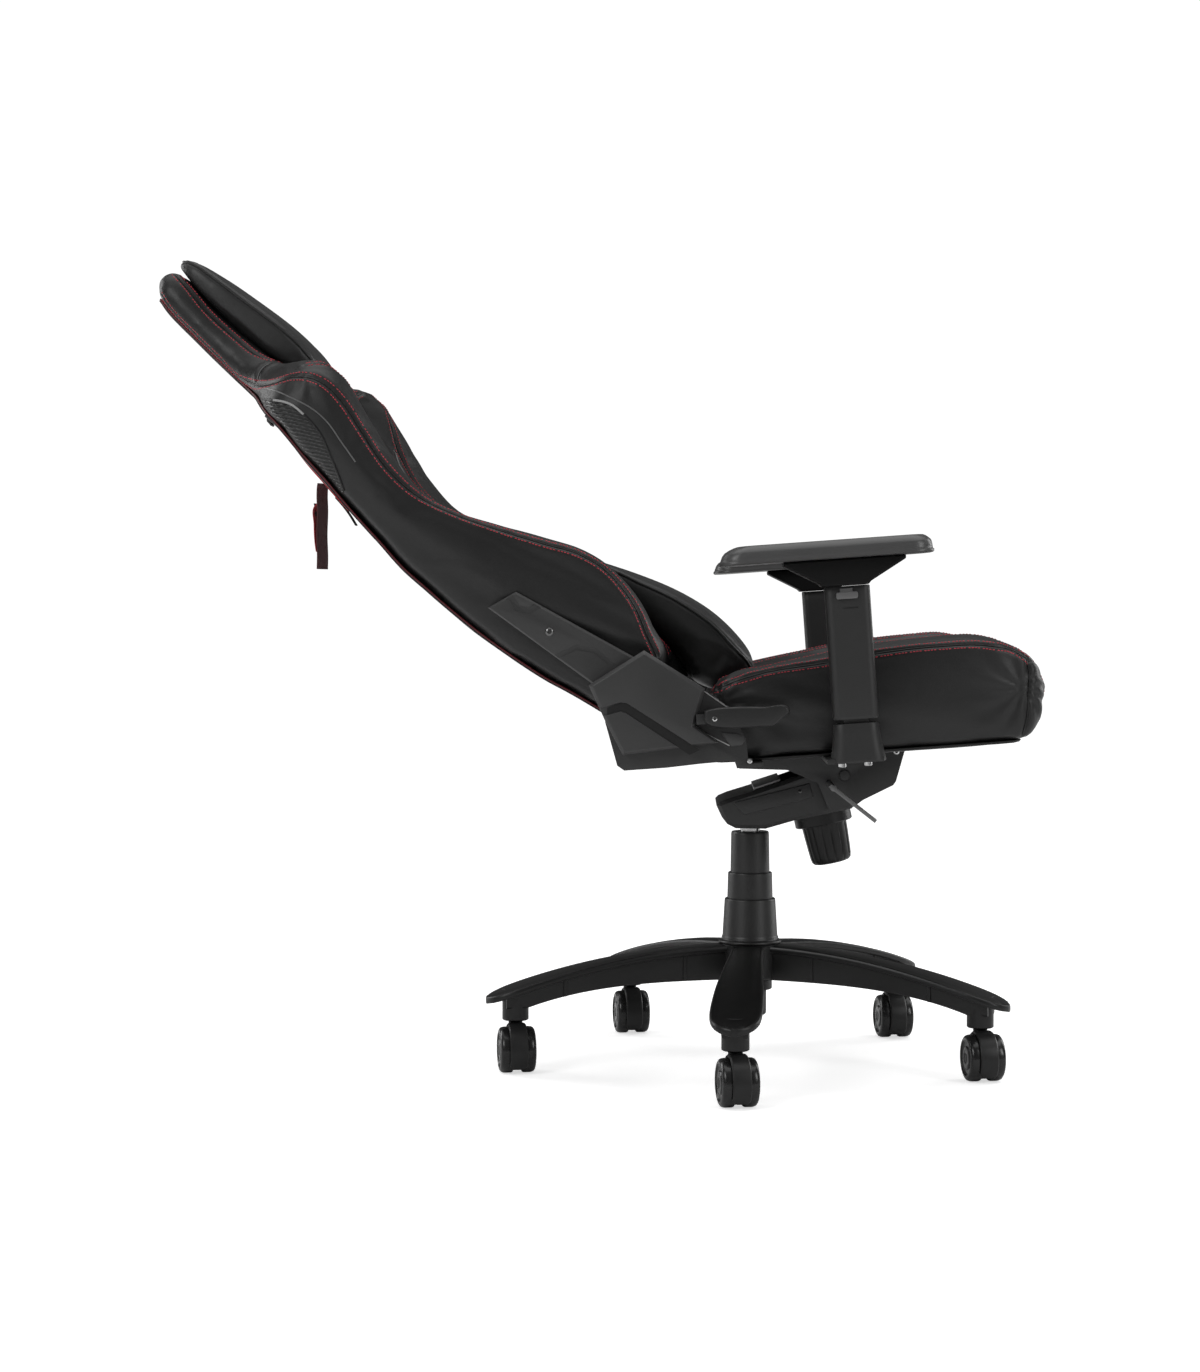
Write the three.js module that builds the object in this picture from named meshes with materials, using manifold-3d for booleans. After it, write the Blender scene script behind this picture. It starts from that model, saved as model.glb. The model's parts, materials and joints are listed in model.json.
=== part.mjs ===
// Gaming chair: five-star base on twin-wheel casters, gas lift, tilt mechanism, bucket seat, adjustable
// armrests and a reclining back with a head pillow and a lumbar pillow.
// Millimetres, +Z up. The chair faces +X, its right-hand side (with the recline lever) is -Y, the floor is
// z = 0 and the origin lies under the middle of the chair's outline.
import * as THREE from 'three';
import { mergeVertices } from 'three/addons/utils/BufferGeometryUtils.js';
import Module from 'manifold-3d';

const wasm = await Module();
wasm.setup();

// ---- Driving dimensions -------------------------------------------------------------------------
const DEG = Math.PI / 180;
const COLUMN_X = 202;            // gas column axis, ahead of the outline's middle
const GAP = 0.4;                 // running gap between touching pieces

const BASE_RADIUS = 350;         // tip of each base arm
const STEM_RADIUS = 312;         // circle of the caster stems
const ARM_COUNT = 5;
const FIRST_ARM = 4.55;          // degrees from -Y towards -X
const ARM_ROOT_Z = 158;          // top of the base at the hub
const ARM_DROP = 61;             // how far an arm arches down to its tip
const WEB_ROOT_Z = 112;          // underside of an arm at the hub
const BOSS_BOTTOM_Z = 66;
const BOSS_R = 17;
const STEM_R = 5.5;

const WHEEL_R = 29.5;
const WHEEL_INNER = 6;           // inner and outer faces of a caster wheel, from the caster's middle
const WHEEL_OUTER = 23;
const CASTER_TRAIL = 12;
const CASTER_TURN = 190.5;         // how far each caster has swivelled from trailing towards +Y
const AXLE_R = 3;
const HOOD_R = 34;
const HOOD_HALF = 11.5;

const TUBE_R = 21.5;
const PISTON_R = 13;
const HUB_R = 40;

const SHAFT = { x: 118, z: 383 };  // tilt shaft, measured from the column axis at the floor
const SHAFT_R = 7;
const SEAT_ANGLE = 4;              // the seat rests nose up by this much
const MECH_HALF = 76;              // half width of the tilt housing
const KNOB = { x: 93, z: 331.5 };  // where the tension knob meets the housing
const KNOB_ANGLE = 12;

const HINGE = { x: -229, z: 111 }; // recliner hinge, measured from the tilt shaft along the seat
const RECLINE = 45;                // back angle behind the seat's normal
const ROD_R = 6;                   // rod that joins the two recliners
const BACK_HALF = 260;
const ARMREST_Y = 303;
const ARMREST_X = 6;
const PAD_BOTTOM = 272;
const PAD_TOP = 297;

// ---- Materials ----------------------------------------------------------------------------------
const finish = (color, roughness, metalness = 0) =>
  new THREE.MeshStandardMaterial({ color, roughness, metalness });
const LEATHER = finish(0x17181a, 0.5);
const CASTING = finish(0x1b1c1e, 0.45, 0.2);
const PLASTIC = finish(0x2b2c2e, 0.55);
const GLOSS = finish(0x121315, 0.15);
const STEEL = finish(0x8c8f93, 0.35, 0.9);
const BLACK_STEEL = finish(0x1c1d1f, 0.45, 0.5);
const RED_WEBBING = finish(0xa01523, 0.8);

// ---- Geometry helpers ---------------------------------------------------------------------------
// One closed indexed mesh with only positions, no zero-area triangles, and its faces pointing out.
function closed(source) {
  const bare = source.clone();
  bare.deleteAttribute('normal');
  bare.deleteAttribute('uv');
  const merged = mergeVertices(bare, 1e-4);
  const index = merged.index.array;
  const kept = [];
  for (let i = 0; i < index.length; i += 3) {
    const [a, b, c] = [index[i], index[i + 1], index[i + 2]];
    if (a !== b && b !== c && c !== a) kept.push(a, b, c);
  }
  const at = (i) => new THREE.Vector3().fromBufferAttribute(merged.attributes.position, i);
  let volume = 0;
  for (let i = 0; i < kept.length; i += 3) {
    volume += at(kept[i]).dot(at(kept[i + 1]).cross(at(kept[i + 2])));
  }
  if (volume < 0) kept.reverse();
  merged.setIndex(kept);
  return merged;
}

function toSolid(geometry) {
  const shape = closed(geometry);
  return new wasm.Manifold(new wasm.Mesh({
    numProp: 3,
    vertProperties: new Float32Array(shape.attributes.position.array),
    triVerts: new Uint32Array(shape.index.array),
  }));
}

function fromSolid(solid) {
  const mesh = solid.getMesh();
  const geometry = new THREE.BufferGeometry();
  geometry.setAttribute('position', new THREE.BufferAttribute(new Float32Array(mesh.vertProperties), 3));
  geometry.setIndex(new THREE.BufferAttribute(new Uint32Array(mesh.triVerts), 1));
  return geometry;
}

function join(...pieces) {
  return fromSolid(pieces.map(toSolid).reduce((whole, piece) => whole.add(piece)));
}

function cut(body, ...tools) {
  return fromSolid(tools.map(toSolid).reduce((whole, tool) => whole.subtract(tool), toSolid(body)));
}

function box(x0, x1, y0, y1, z0, z1) {
  const shape = new THREE.BoxGeometry(x1 - x0, y1 - y0, z1 - z0);
  return shape.translate((x0 + x1) / 2, (y0 + y1) / 2, (z0 + z1) / 2);
}

// A plate whose outline is given as [x, z] points, filling yLow to yHigh, with an optional edge bevel.
function plate(outline, yLow, yHigh, bevel = 0) {
  const shape = new THREE.Shape(outline.map(([x, z]) => new THREE.Vector2(x, z)));
  const options = {
    depth: yHigh - yLow - 2 * bevel,
    bevelEnabled: bevel > 0,
    bevelThickness: bevel,
    bevelSize: bevel,
    bevelOffset: -bevel,
    bevelSegments: 1,
  };
  return new THREE.ExtrudeGeometry(shape, options).rotateX(Math.PI / 2).translate(0, yHigh - bevel, 0);
}

// A solid of revolution about the Z axis from [radius, z] points; a profile off the axis closes on itself.
function turned(profile, segments = 24) {
  const loop = profile[0][0] > 0 ? [...profile, profile[0]] : profile;
  const points = loop.map(([r, z]) => new THREE.Vector2(r, z));
  return new THREE.LatheGeometry(points, segments).rotateX(Math.PI / 2);
}

function pinY(radius, x, z, y0, y1, sides = 16) {
  return new THREE.CylinderGeometry(radius, radius, y1 - y0, sides).translate(x, (y0 + y1) / 2, z);
}

function pinZ(radius, x, y, z0, z1, sides = 16) {
  const shape = new THREE.CylinderGeometry(radius, radius, z1 - z0, sides).rotateX(Math.PI / 2);
  return shape.translate(x, y, (z0 + z1) / 2);
}

function pinX(radius, y, z, x0, x1, sides = 16) {
  const shape = new THREE.CylinderGeometry(radius, radius, x1 - x0, sides).rotateZ(Math.PI / 2);
  return shape.translate((x0 + x1) / 2, y, z);
}

// A skin over rings of equal point count, closed by a flat cap at each end.
function loft(rings) {
  const count = rings[0].length;
  const position = rings.flat().flat();
  const index = [];
  for (let i = 0; i < rings.length - 1; i += 1) {
    for (let j = 0; j < count; j += 1) {
      const [a, b] = [i * count + j, i * count + ((j + 1) % count)];
      index.push(a, b, b + count, a, b + count, a + count);
    }
  }
  // The first cap runs against the rings' order and the last cap runs with it.
  const cap = (ring, start, withOrder) => {
    const faces = THREE.ShapeUtils.triangulateShape(flatten(ring), []);
    const follows = (a, b) => b === (a + 1) % count;
    const ordered = faces.some(([a, b, c]) => follows(a, b) || follows(b, c) || follows(c, a));
    for (const [a, b, c] of faces) {
      const [p, q] = ordered === withOrder ? [b, c] : [c, b];
      index.push(start + a, start + p, start + q);
    }
  };
  cap(rings[0], 0, false);
  cap(rings[rings.length - 1], (rings.length - 1) * count, true);
  const geometry = new THREE.BufferGeometry();
  geometry.setAttribute('position', new THREE.Float32BufferAttribute(position, 3));
  geometry.setIndex(index);
  return geometry;
}

// A ring's points in its own plane, dropping the axis along which it varies least.
function flatten(ring) {
  const spread = [0, 1, 2].map((k) => {
    const values = ring.map((point) => point[k]);
    return Math.max(...values) - Math.min(...values);
  });
  const flatAxis = spread.indexOf(Math.min(...spread));
  const [p, q] = [0, 1, 2].filter((k) => k !== flatAxis);
  return ring.map((point) => new THREE.Vector2(point[p], point[q]));
}

function roundedRing(cx, cy, halfX, halfY, corner, z) {
  const ring = [];
  const corners = [[1, 1, 0], [-1, 1, 90], [-1, -1, 180], [1, -1, 270]];
  for (const [sx, sy, start] of corners) {
    for (const step of [0, 45, 90]) {
      const turn = (start + step) * DEG;
      ring.push([
        cx + sx * (halfX - corner) + corner * Math.cos(turn),
        cy + sy * (halfY - corner) + corner * Math.sin(turn),
        z,
      ]);
    }
  }
  return ring;
}

function named(name, geometry, material) {
  const mesh = new THREE.Mesh(closed(geometry), material);
  mesh.name = name;
  return mesh;
}

// ---- Five-star base -----------------------------------------------------------------------------
const armTop = (r) => ARM_ROOT_Z - ARM_DROP * (r / BASE_RADIUS) ** 2.1;
const webBottom = (r) => WEB_ROOT_Z - 26 * (r / 288) ** 3.4;

function baseArm(turn) {
  const blade = [[24, 21], [90, 22], [170, 26], [245, 30.5], [300, 32], [328, 28], [342, 20], [350, 8]];
  const top = loft(blade.map(([r, half]) => {
    const z = armTop(r);
    return [[r, -half, z - 9], [r, -half, z - 3], [r, -half + 5, z],
      [r, half - 5, z], [r, half, z - 3], [r, half, z - 9]];
  }));
  const web = loft([24, 120, 190, 250, 296, 326].map((r) => {
    const [low, high] = [webBottom(Math.min(r, 300)), armTop(r) - 5];
    return [[r, -16, low], [r, -18, high], [r, 18, high], [r, 16, low]];
  }));
  const boss = pinZ(BOSS_R, STEM_RADIUS, 0, BOSS_BOTTOM_Z, armTop(STEM_RADIUS) - 4, 20);
  return [top, web, boss].map((piece) => piece.rotateZ(turn));
}

// Direction of base arm n, counted from the one nearest -Y.
const armTurn = (n) => -Math.PI / 2 - (FIRST_ARM + n * 360 / ARM_COUNT) * DEG;

function starBase() {
  const hub = turned([[0, 98], [29, 98], [29, 110], [HUB_R, 114], [HUB_R + 2, ARM_ROOT_Z - 2],
    [HUB_R, ARM_ROOT_Z], [0, ARM_ROOT_Z]], 30);
  const pieces = [hub];
  const bores = [pinZ(TUBE_R + GAP / 2, 0, 0, 90, 175, 24)];
  for (let n = 0; n < ARM_COUNT; n += 1) {
    pieces.push(...baseArm(armTurn(n)));
    const stem = pinZ(STEM_R + GAP, STEM_RADIUS, 0, 40, 96, 12);
    bores.push(stem.rotateZ(armTurn(n)));
  }
  return cut(join(...pieces), ...bores);
}

function columnTube() {
  return turned([[0, 64], [TUBE_R - 2, 64], [TUBE_R, 70], [TUBE_R, 232], [PISTON_R + GAP, 232],
    [PISTON_R + GAP, 68], [0, 68]], 24);
}

function gasCylinder() {
  return turned([[0, 150], [PISTON_R, 150], [PISTON_R, 318], [PISTON_R - 1, 348], [0, 348]], 24);
}

function coverLower() {
  return turned([[30.6, 158.5], [41, 158.5], [41, 162], [37, 165], [36, 169], [33.2, 216], [32, 217],
    [30.6, 217]], 28);
}

function coverMiddle() {
  return turned([[27, 200], [30.2, 200], [28.8, 250], [28, 251], [26.6, 251]], 28);
}

function coverUpper() {
  return turned([[22.2, 234], [26, 234], [24.7, 303], [23.6, 304.5], [14, 304.5], [14, 302], [22.2, 302]], 28);
}

// ---- Casters ------------------------------------------------------------------------------------
// Each caster is drawn about its own stem: axle along X, wheels and hood trailing towards +Y.
function casterHood() {
  const arc = [];
  const [start, end, steps] = [-132, 52, 9];
  for (let i = 0; i <= steps; i += 1) {
    const turn = (90 + start + (end - start) * i / steps) * DEG;
    arc.push([CASTER_TRAIL + HOOD_R * Math.cos(turn), WHEEL_R + HOOD_R * Math.sin(turn)]);
  }
  const inner = arc.map(([y, z]) => {
    const scale = (WHEEL_R + 1.2) / HOOD_R;
    return [CASTER_TRAIL + (y - CASTER_TRAIL) * scale, WHEEL_R + (z - WHEEL_R) * scale];
  });
  const band = [...arc, ...inner.reverse()].map(([y, z]) => new THREE.Vector2(y, z));
  const hood = new THREE.ExtrudeGeometry(new THREE.Shape(band), { depth: 2 * HOOD_HALF, bevelEnabled: false });
  // The outline was drawn as (y, z), so it is turned to stand in the YZ plane.
  const basis = new THREE.Matrix4().makeBasis(
    new THREE.Vector3(0, 1, 0), new THREE.Vector3(0, 0, 1), new THREE.Vector3(1, 0, 0));
  hood.applyMatrix4(basis).translate(-HOOD_HALF, 0, 0);
  const web = pinX(WHEEL_R - 3, CASTER_TRAIL, WHEEL_R, -WHEEL_INNER + 1, WHEEL_INNER - 1, 16);
  const bridge = box(-WHEEL_INNER + 1, WHEEL_INNER - 1, CASTER_TRAIL - 20, CASTER_TRAIL + 14, WHEEL_R, WHEEL_R + 28);
  const collar = pinZ(9, 0, 0, WHEEL_R + 31, BOSS_BOTTOM_Z - 1.5, 12);
  const stem = pinZ(STEM_R, 0, 0, WHEEL_R + 26, BOSS_BOTTOM_Z + 26, 10);
  const bore = pinX(AXLE_R + GAP / 2, CASTER_TRAIL, WHEEL_R, -20, 20, 12);
  return cut(join(hood, web, bridge, collar, stem), bore);
}

function casterWheel(side) {
  const inner = WHEEL_INNER;
  const outer = WHEEL_OUTER;
  const profile = [[AXLE_R + GAP / 2, inner], [WHEEL_R - 2, inner], [WHEEL_R, inner + 2],
    [WHEEL_R, outer - 7], [WHEEL_R - 2.5, outer - 2], [WHEEL_R - 7, outer],
    [AXLE_R + GAP / 2, outer]];
  let wheel = turned(profile, 18).rotateY(Math.PI / 2);
  if (side < 0) {
    wheel = wheel.rotateZ(Math.PI);
    // The first wheel carries the axle, which runs through the hood into the second wheel.
    const seatOfAxle = pinX(AXLE_R + 1, 0, 0, -outer + 2, -inner, 12);
    wheel = join(wheel, seatOfAxle, pinX(AXLE_R, 0, 0, -outer + 2, outer - 3, 12));
  }
  return wheel.translate(0, CASTER_TRAIL, WHEEL_R);
}

function casters(parent) {
  for (let n = 0; n < ARM_COUNT; n += 1) {
    const turn = armTurn(n);
    const group = new THREE.Group();
    group.position.set(STEM_RADIUS * Math.cos(turn), STEM_RADIUS * Math.sin(turn), 0);
    group.rotation.z = CASTER_TURN * DEG;
    group.add(named(`caster_${n + 1}_hood`, casterHood(), PLASTIC));
    group.add(named(`caster_${n + 1}_wheel_a`, casterWheel(-1), GLOSS));
    group.add(named(`caster_${n + 1}_wheel_b`, casterWheel(1), GLOSS));
    parent.add(group);
  }
}

// ---- Tilt mechanism -----------------------------------------------------------------------------
function tiltHousing() {
  const outline = [[-45, 343], [-38, 328], [-31, 319], [-20, 313.5], [18, 313], [54, 323.4], [128, 339.2],
    [134, 345], [134, 388], [126, 398], [100, 396], [42, 375], [0, 361], [-29, 352], [-41, 347]];
  const body = plate(outline, -MECH_HALF, MECH_HALF, 5);
  const well = plate([[34, 334], [108, 350], [108, 420], [34, 420]], -MECH_HALF + 8, MECH_HALF - 8);
  const socket = turned([[0, 300], [PISTON_R + GAP, 300], [PISTON_R + GAP, 318],
    [PISTON_R - 1 + GAP, 348 + GAP], [0, 348 + GAP]], 24);
  const shaftBore = pinY(SHAFT_R + GAP / 2, SHAFT.x, SHAFT.z, -120, 120);
  const boltBore = pinZ(6, 0, 0, -60, 60).rotateY(-KNOB_ANGLE * DEG).translate(KNOB.x, 0, KNOB.z);
  return cut(body, well, socket, shaftBore, boltBore);
}

function tensionKnob() {
  const lobes = 14;
  const ring = (radius, z, depth) => {
    const points = [];
    for (let i = 0; i < lobes * 3; i += 1) {
      const turn = (i / (lobes * 3)) * 2 * Math.PI;
      const r = radius - (i % 3 === 0 ? depth : 0);
      points.push([r * Math.cos(turn), r * Math.sin(turn), z]);
    }
    return points;
  };
  const grip = loft([ring(29.5, -6, 0), ring(29.5, -18, 1.6), ring(27.6, -56, 1.6), ring(25.5, -64, 1), ring(18, -68.5, 0)]);
  const collar = turned([[0, -17], [37.5, -17], [37.5, -1], [0, -1]], 24);
  const bolt = pinZ(5, 0, 0, -8, 46, 12);
  return join(grip, collar, bolt);
}

function tiltSpring() {
  return turned([[7, 19], [16, 19], [16, 44], [7, 44]], 20);
}

function mechanism(parent) {
  parent.add(named('tilt_housing', tiltHousing(), BLACK_STEEL));
  parent.add(named('tilt_shaft', pinY(SHAFT_R, SHAFT.x, SHAFT.z, -90, 90), STEEL));
  const screw = new THREE.Group();
  screw.position.set(KNOB.x, 0, KNOB.z);
  screw.rotation.y = -KNOB_ANGLE * DEG;
  screw.add(named('tension_knob', tensionKnob(), PLASTIC));
  screw.add(named('tilt_spring', tiltSpring(), STEEL));
  parent.add(screw);
}

// From here on x and z are measured from the tilt shaft, along and square to the seat.
function seatPlate() {
  const top = box(-137, 79, -88, 88, 29, 34);
  const flange = [[-137, 34], [-137, 24], [-133, 17.5], [-72, 11.5], [-34, -8], [-22, -46], [14, -38], [22, -33],
    [61, -17], [65, -12], [79, 27], [79, 34]];
  const sides = [-1, 1].map((side) => plate(flange, side < 0 ? -88 : 84, side < 0 ? -84 : 88));
  const bore = pinY(SHAFT_R + GAP / 2, 0, 0, -120, 120);
  return cut(join(top, ...sides), bore);
}

function handLever(side, reach) {
  const [x, z] = [-20, -9];
  const rod = pinY(4, x, z, side < 0 ? -reach : 88.6, side < 0 ? -88.6 : reach, 12);
  const paddle = box(-6, 66, -9, 9, -2.4, 2.4).rotateY(42 * DEG).translate(x, side * (reach - 4), z);
  return join(rod, paddle);
}

// ---- Seat ---------------------------------------------------------------------------------------
// Stations along the seat: [x, half width, bottom, side seam, bolster top, centre top].
const SEAT_STATIONS = [
  [-166, 246, 46, 106, 108, 100], [-158, 256, 38, 124, 130, 115], [-94, 258, 38, 143, 148, 133],
  [-26, 258, 38, 150, 158, 140], [36, 258, 38, 156, 166, 143], [101, 256, 38, 158, 169, 146],
  [150, 253, 38, 158, 170, 147], [184, 249, 38, 156, 163, 147], [211, 243, 38, 147, 151, 143],
  [229, 236, 48, 134, 138, 134], [239, 230, 64, 122, 125, 123], [243, 222, 88, 107, 109, 108]];

function seatRing([x, half, low, seam, high, middle]) {
  const side = [[half - 10, low], [half, low + 9], [half, seam - 5], [half - 6, seam + (high - seam) * 0.3],
    [half - 34, high], [half - 74, high - 3], [half - 94, middle], [60, middle]];
  const left = side.map(([y, z]) => [x, -y, z]);
  return [...side.map(([y, z]) => [x, y, z]), ...left.reverse()];
}

function seatCushion() {
  const pocket = box(-150, 200, -226, 226, 20, 56);
  return cut(loft(SEAT_STATIONS.map(seatRing)), pocket);
}

function seatFrame() {
  const ring = cut(box(-148, 198, -224, 224, 39, 54), box(-132, 182, -208, 208, 30, 60));
  const crossings = [-120, 40].map((x) => box(x, x + 14, -216, 216, 39, 54));
  return join(ring, ...crossings);
}

function seatBaseCover() {
  return loft([roundedRing(22, 0, 188, 240, 30, 34.5), roundedRing(22, 0, 190, 242, 30, 37.5)]);
}

// Steel side bracket: a foot under the seat and an upright plate that carries the recliner.
function sideBracket(side) {
  const outline = [[-275, 35.5], [-283, 42], [-294, 96], [-262, 146], [-200, 146], [-176, 128], [-140, 96], [-126, 64],
    [-124, 29], [-139, 29], [-141, 38.5], [-183, 37.5], [-224, 35.5]];
  const wall = plate(outline, 275, 279);
  const foot = box(-139, -107, 97, 279, 29, 34);
  const bore = pinY(9, HINGE.x, HINGE.z, 200, 320);
  return mirrored(cut(join(wall, foot), bore), side);
}

// The part is drawn on the +Y side; side -1 gives its mirror image.
function mirrored(geometry, side) {
  return side > 0 ? geometry : geometry.applyMatrix4(new THREE.Matrix4().makeScale(1, -1, 1));
}

function reclinerCover(side) {
  const outline = [[-310, 142], [-241, 179], [-171, 128], [-186, 85], [-159, 62], [-275, 55], [-294, 99]];
  return mirrored(plate(outline, 279.4, 297, 4), side);
}

function reclineLever() {
  const blade = [[-174, 102], [-136, 103.5], [-71, 98], [-82, 85], [-95, 78], [-158, 80.5], [-174, 87]];
  const grip = plate(blade, -306, -285, 3);
  const pivot = pinY(6, -161, 91.5, -290, -279.4);
  return join(grip, pivot);
}

// ---- Armrests -----------------------------------------------------------------------------------
function armBracket(side) {
  const foot = box(-32, 36, 97, 318, 28, 34);
  const flare = loft([
    roundedRing(ARMREST_X, ARMREST_Y, 33, 20, 8, 29),
    roundedRing(ARMREST_X, ARMREST_Y, 33, 20, 8, 34),
    roundedRing(ARMREST_X, ARMREST_Y, 27.5, 17.5, 8, 62),
    roundedRing(ARMREST_X, ARMREST_Y, 27, 17, 8, 75)]);
  const slot = box(ARMREST_X - 15.4, ARMREST_X + 15.4, ARMREST_Y - 8.4, ARMREST_Y + 8.4, 45, 90);
  return mirrored(cut(join(foot, flare), slot), side);
}

function armPost(side) {
  return mirrored(box(ARMREST_X - 15, ARMREST_X + 15, ARMREST_Y - 8, ARMREST_Y + 8, 45.4, 220), side);
}

function armSleeve(side) {
  const shell = loft([
    roundedRing(ARMREST_X, ARMREST_Y, 26.5, 16.5, 9, 80),
    roundedRing(ARMREST_X, ARMREST_Y, 27, 17, 9, 84),
    roundedRing(ARMREST_X, ARMREST_Y, 27, 17, 9, 239)]);
  const bore = box(ARMREST_X - 15.5, ARMREST_X + 15.5, ARMREST_Y - 8.5, ARMREST_Y + 8.5, 70, 230);
  return mirrored(cut(shell, bore), side);
}

function armButton(side) {
  const bar = box(ARMREST_X - 9, ARMREST_X + 13, ARMREST_Y + 17.3, ARMREST_Y + 23, 217, 224);
  const stem = box(ARMREST_X - 4, ARMREST_X + 8, ARMREST_Y + 17.3, ARMREST_Y + 21, 222, 233);
  return mirrored(join(bar, stem), side);
}

function armCarrier(side) {
  const outline = [[-24, 239.5], [31, 239.5], [34, 243], [77, 267], [77, 271.6], [-68, 271.6], [-68, 267],
    [-27, 243]];
  return mirrored(plate(outline, ARMREST_Y - 27, ARMREST_Y + 27, 1.5), side);
}

function armPad(side) {
  const [low, high] = [-144, 111];
  const middle = (low + high) / 2;
  const half = (high - low) / 2;
  return mirrored(loft([
    roundedRing(middle - 1, ARMREST_Y, half - 6, 40, 22, PAD_BOTTOM),
    roundedRing(middle, ARMREST_Y, half, 47, 26, PAD_BOTTOM + 7),
    roundedRing(middle, ARMREST_Y, half - 1, 46, 26, PAD_TOP - 7),
    roundedRing(middle + 4, ARMREST_Y, half - 14, 36, 22, PAD_TOP)]), side);
}

// ---- Back ---------------------------------------------------------------------------------------
// From here on x points out of the back's front and z runs up along the back from the recliner hinge.
// Stations along the back: [z, half width, rear, side seam, bolster front, centre front].
const BACK_STATIONS = [
  [-12, 226, 13, 20, 34, 49], [8, 230, 13, 22, 36, 53], [16, 234, -44, 22, 36, 54],
  [40, 250, -52, 44, 58, 57], [68, 256, -57, 57, 68, 58], [94, 258, -62, 70, 79, 61],
  [125, 259, -69, 79, 86, 62], [160, 260, -74, 82, 88, 62], [195, 260, -78, 75, 82, 57],
  [234, 260, -81, 57, 65, 45], [286, 260, -82, 34, 40, 24], [336, 261, -82, 14, 18, 4],
  [390, 262, -76, 0, 6, -8], [440, 264, -70, 2, 13, -6], [492, 267, -62, 16, 29, 6],
  [532, 269, -57, 27, 42, 15], [557, 270, -52.5, 29, 48, 19], [580, 267, -49.5, 23, 48, 20],
  [598, 256, -48.5, 12, 40, 17], [614, 232, -46.5, 2, 28, 12], [632, 196, -44.5, -10, 12, 7],
  [660, 165, -44.5, -14, 4, 3], [704, 146, -43.5, -14, 3, 3], [750, 138, -41, -12, 4, 4],
  [794, 132, -38, -6, 9, 9], [817, 124, -34, 0, 12, 12], [831, 113, -24, 2, 8, 8]];
const REAR_SKIN = 3.6;

function backRing([z, half, rear, seam, front, middle]) {
  const back = rear + REAR_SKIN;
  const inset = Math.min(94, half * 0.42);
  const depth = seam - back;
  const side = [[half - 26, back], [half - 5, back + Math.min(8, depth * 0.2)],
    [half, back + Math.min(20, depth * 0.5)], [half, seam - Math.min(5, depth * 0.2)],
    [half - 6, seam + (front - seam) * 0.4], [half - 0.3 * inset, front], [half - 0.75 * inset, front - 3],
    [half - inset, middle], [half * 0.25, middle]];
  const left = side.map(([y, x]) => [x, -y, z]);
  return [...side.map(([y, x]) => [x, y, z]), ...left.reverse()];
}

function backCushion() {
  const legs = [-1, 1].map((side) => {
    const [a, b] = [side * 195, side * 215];
    return box(-120, -20, Math.min(a, b), Math.max(a, b), 30, 590);
  });
  const bars = [[30, 52], [568, 590]].map(([low, high]) => box(-120, -20, -215, 215, low, high));
  return cut(loft(BACK_STATIONS.map(backRing)), ...legs, ...bars);
}

function backFrame() {
  const outer = box(-38, -22, -213, 213, 32, 588);
  return cut(outer, box(-60, 0, -197, 197, 50, 570));
}

function backRearCover() {
  return loft(BACK_STATIONS.slice(0, -1).map(([z, half, rear]) => {
    const edge = half - 28;
    return [[rear, -edge, z], [rear, edge, z], [rear + REAR_SKIN - GAP, edge, z], [rear + REAR_SKIN - GAP, -edge, z]];
  }));
}

function backArm(side) {
  const outline = [[-46, 233], [-9, 220], [27, 53], [36, 10], [28, -22], [0, -36], [-28, -22], [-36, 8], [-30, 50]];
  const bore = pinY(ROD_R + 1, 0, 0, 200, 320);
  return mirrored(cut(plate(outline, BACK_HALF + 1.5, BACK_HALF + 14, 2.5), bore), side);
}

function pillow(stations) {
  return loft(stations.map(([z, half, low, high]) => {
    const middle = (low + high) / 2;
    const thick = high - low;
    return [[low, half * 0.84, z], [low + 0.2 * thick, half * 0.97, z], [middle + 0.15 * thick, half, z],
      [high - 0.12 * thick, half * 0.96, z], [high, half * 0.76, z], [high + 0.03 * thick, 0, z],
      [high, -half * 0.76, z], [high - 0.12 * thick, -half * 0.96, z], [middle + 0.15 * thick, -half, z],
      [low + 0.2 * thick, -half * 0.97, z], [low, -half * 0.84, z]];
  }));
}

// Pillow stations: [z, half width, rear face, front face].
const HEAD_PILLOW = [[604, 96, 22, 38], [614, 112, 17, 43], [640, 122, 10, 49.5], [672, 126, 6.5, 51],
  [745, 126, 7, 45], [785, 124, 11, 41], [812, 118, 14.5, 37], [827, 104, 17, 30]];
const LUMBAR_PILLOW = [[-62, 118, 92, 114], [-52, 136, 74, 121], [-30, 148, 63, 125], [10, 154, 65, 128],
  [66, 158, 66, 121], [128, 156, 66, 101], [166, 148, 66, 88], [184, 130, 68, 79]];

function strapRun(y, width, thick, route) {
  return loft(route.map(([z, x]) => [[x - thick, y, z], [x, y, z], [x, y + width, z], [x - thick, y + width, z]]));
}

// Height of the back's rear face at z, between stations.
function rearAt(z) {
  const above = BACK_STATIONS.findIndex(([station]) => station >= z);
  const [low, high] = [BACK_STATIONS[above - 1], BACK_STATIONS[above]];
  const part = (z - low[0]) / (high[0] - low[0]);
  return low[2] + (high[2] - low[2]) * part - 0.5;
}

function rearStrap() {
  const levels = [452, 470, 500, 530, 560, 575, 581];
  return strapRun(-150, 25, 3.5, levels.map((z) => [z, rearAt(z)]));
}

function strapBuckle() {
  return loft([581.5, 585, 598, 606, 610].map((z, i) => {
    const rise = i === 0 || i === 4 ? 5 : 8;
    const x = rearAt(z);
    return [[x - rise, -154, z], [x, -154, z], [x, -121, z], [x - rise, -121, z]];
  }));
}

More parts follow.
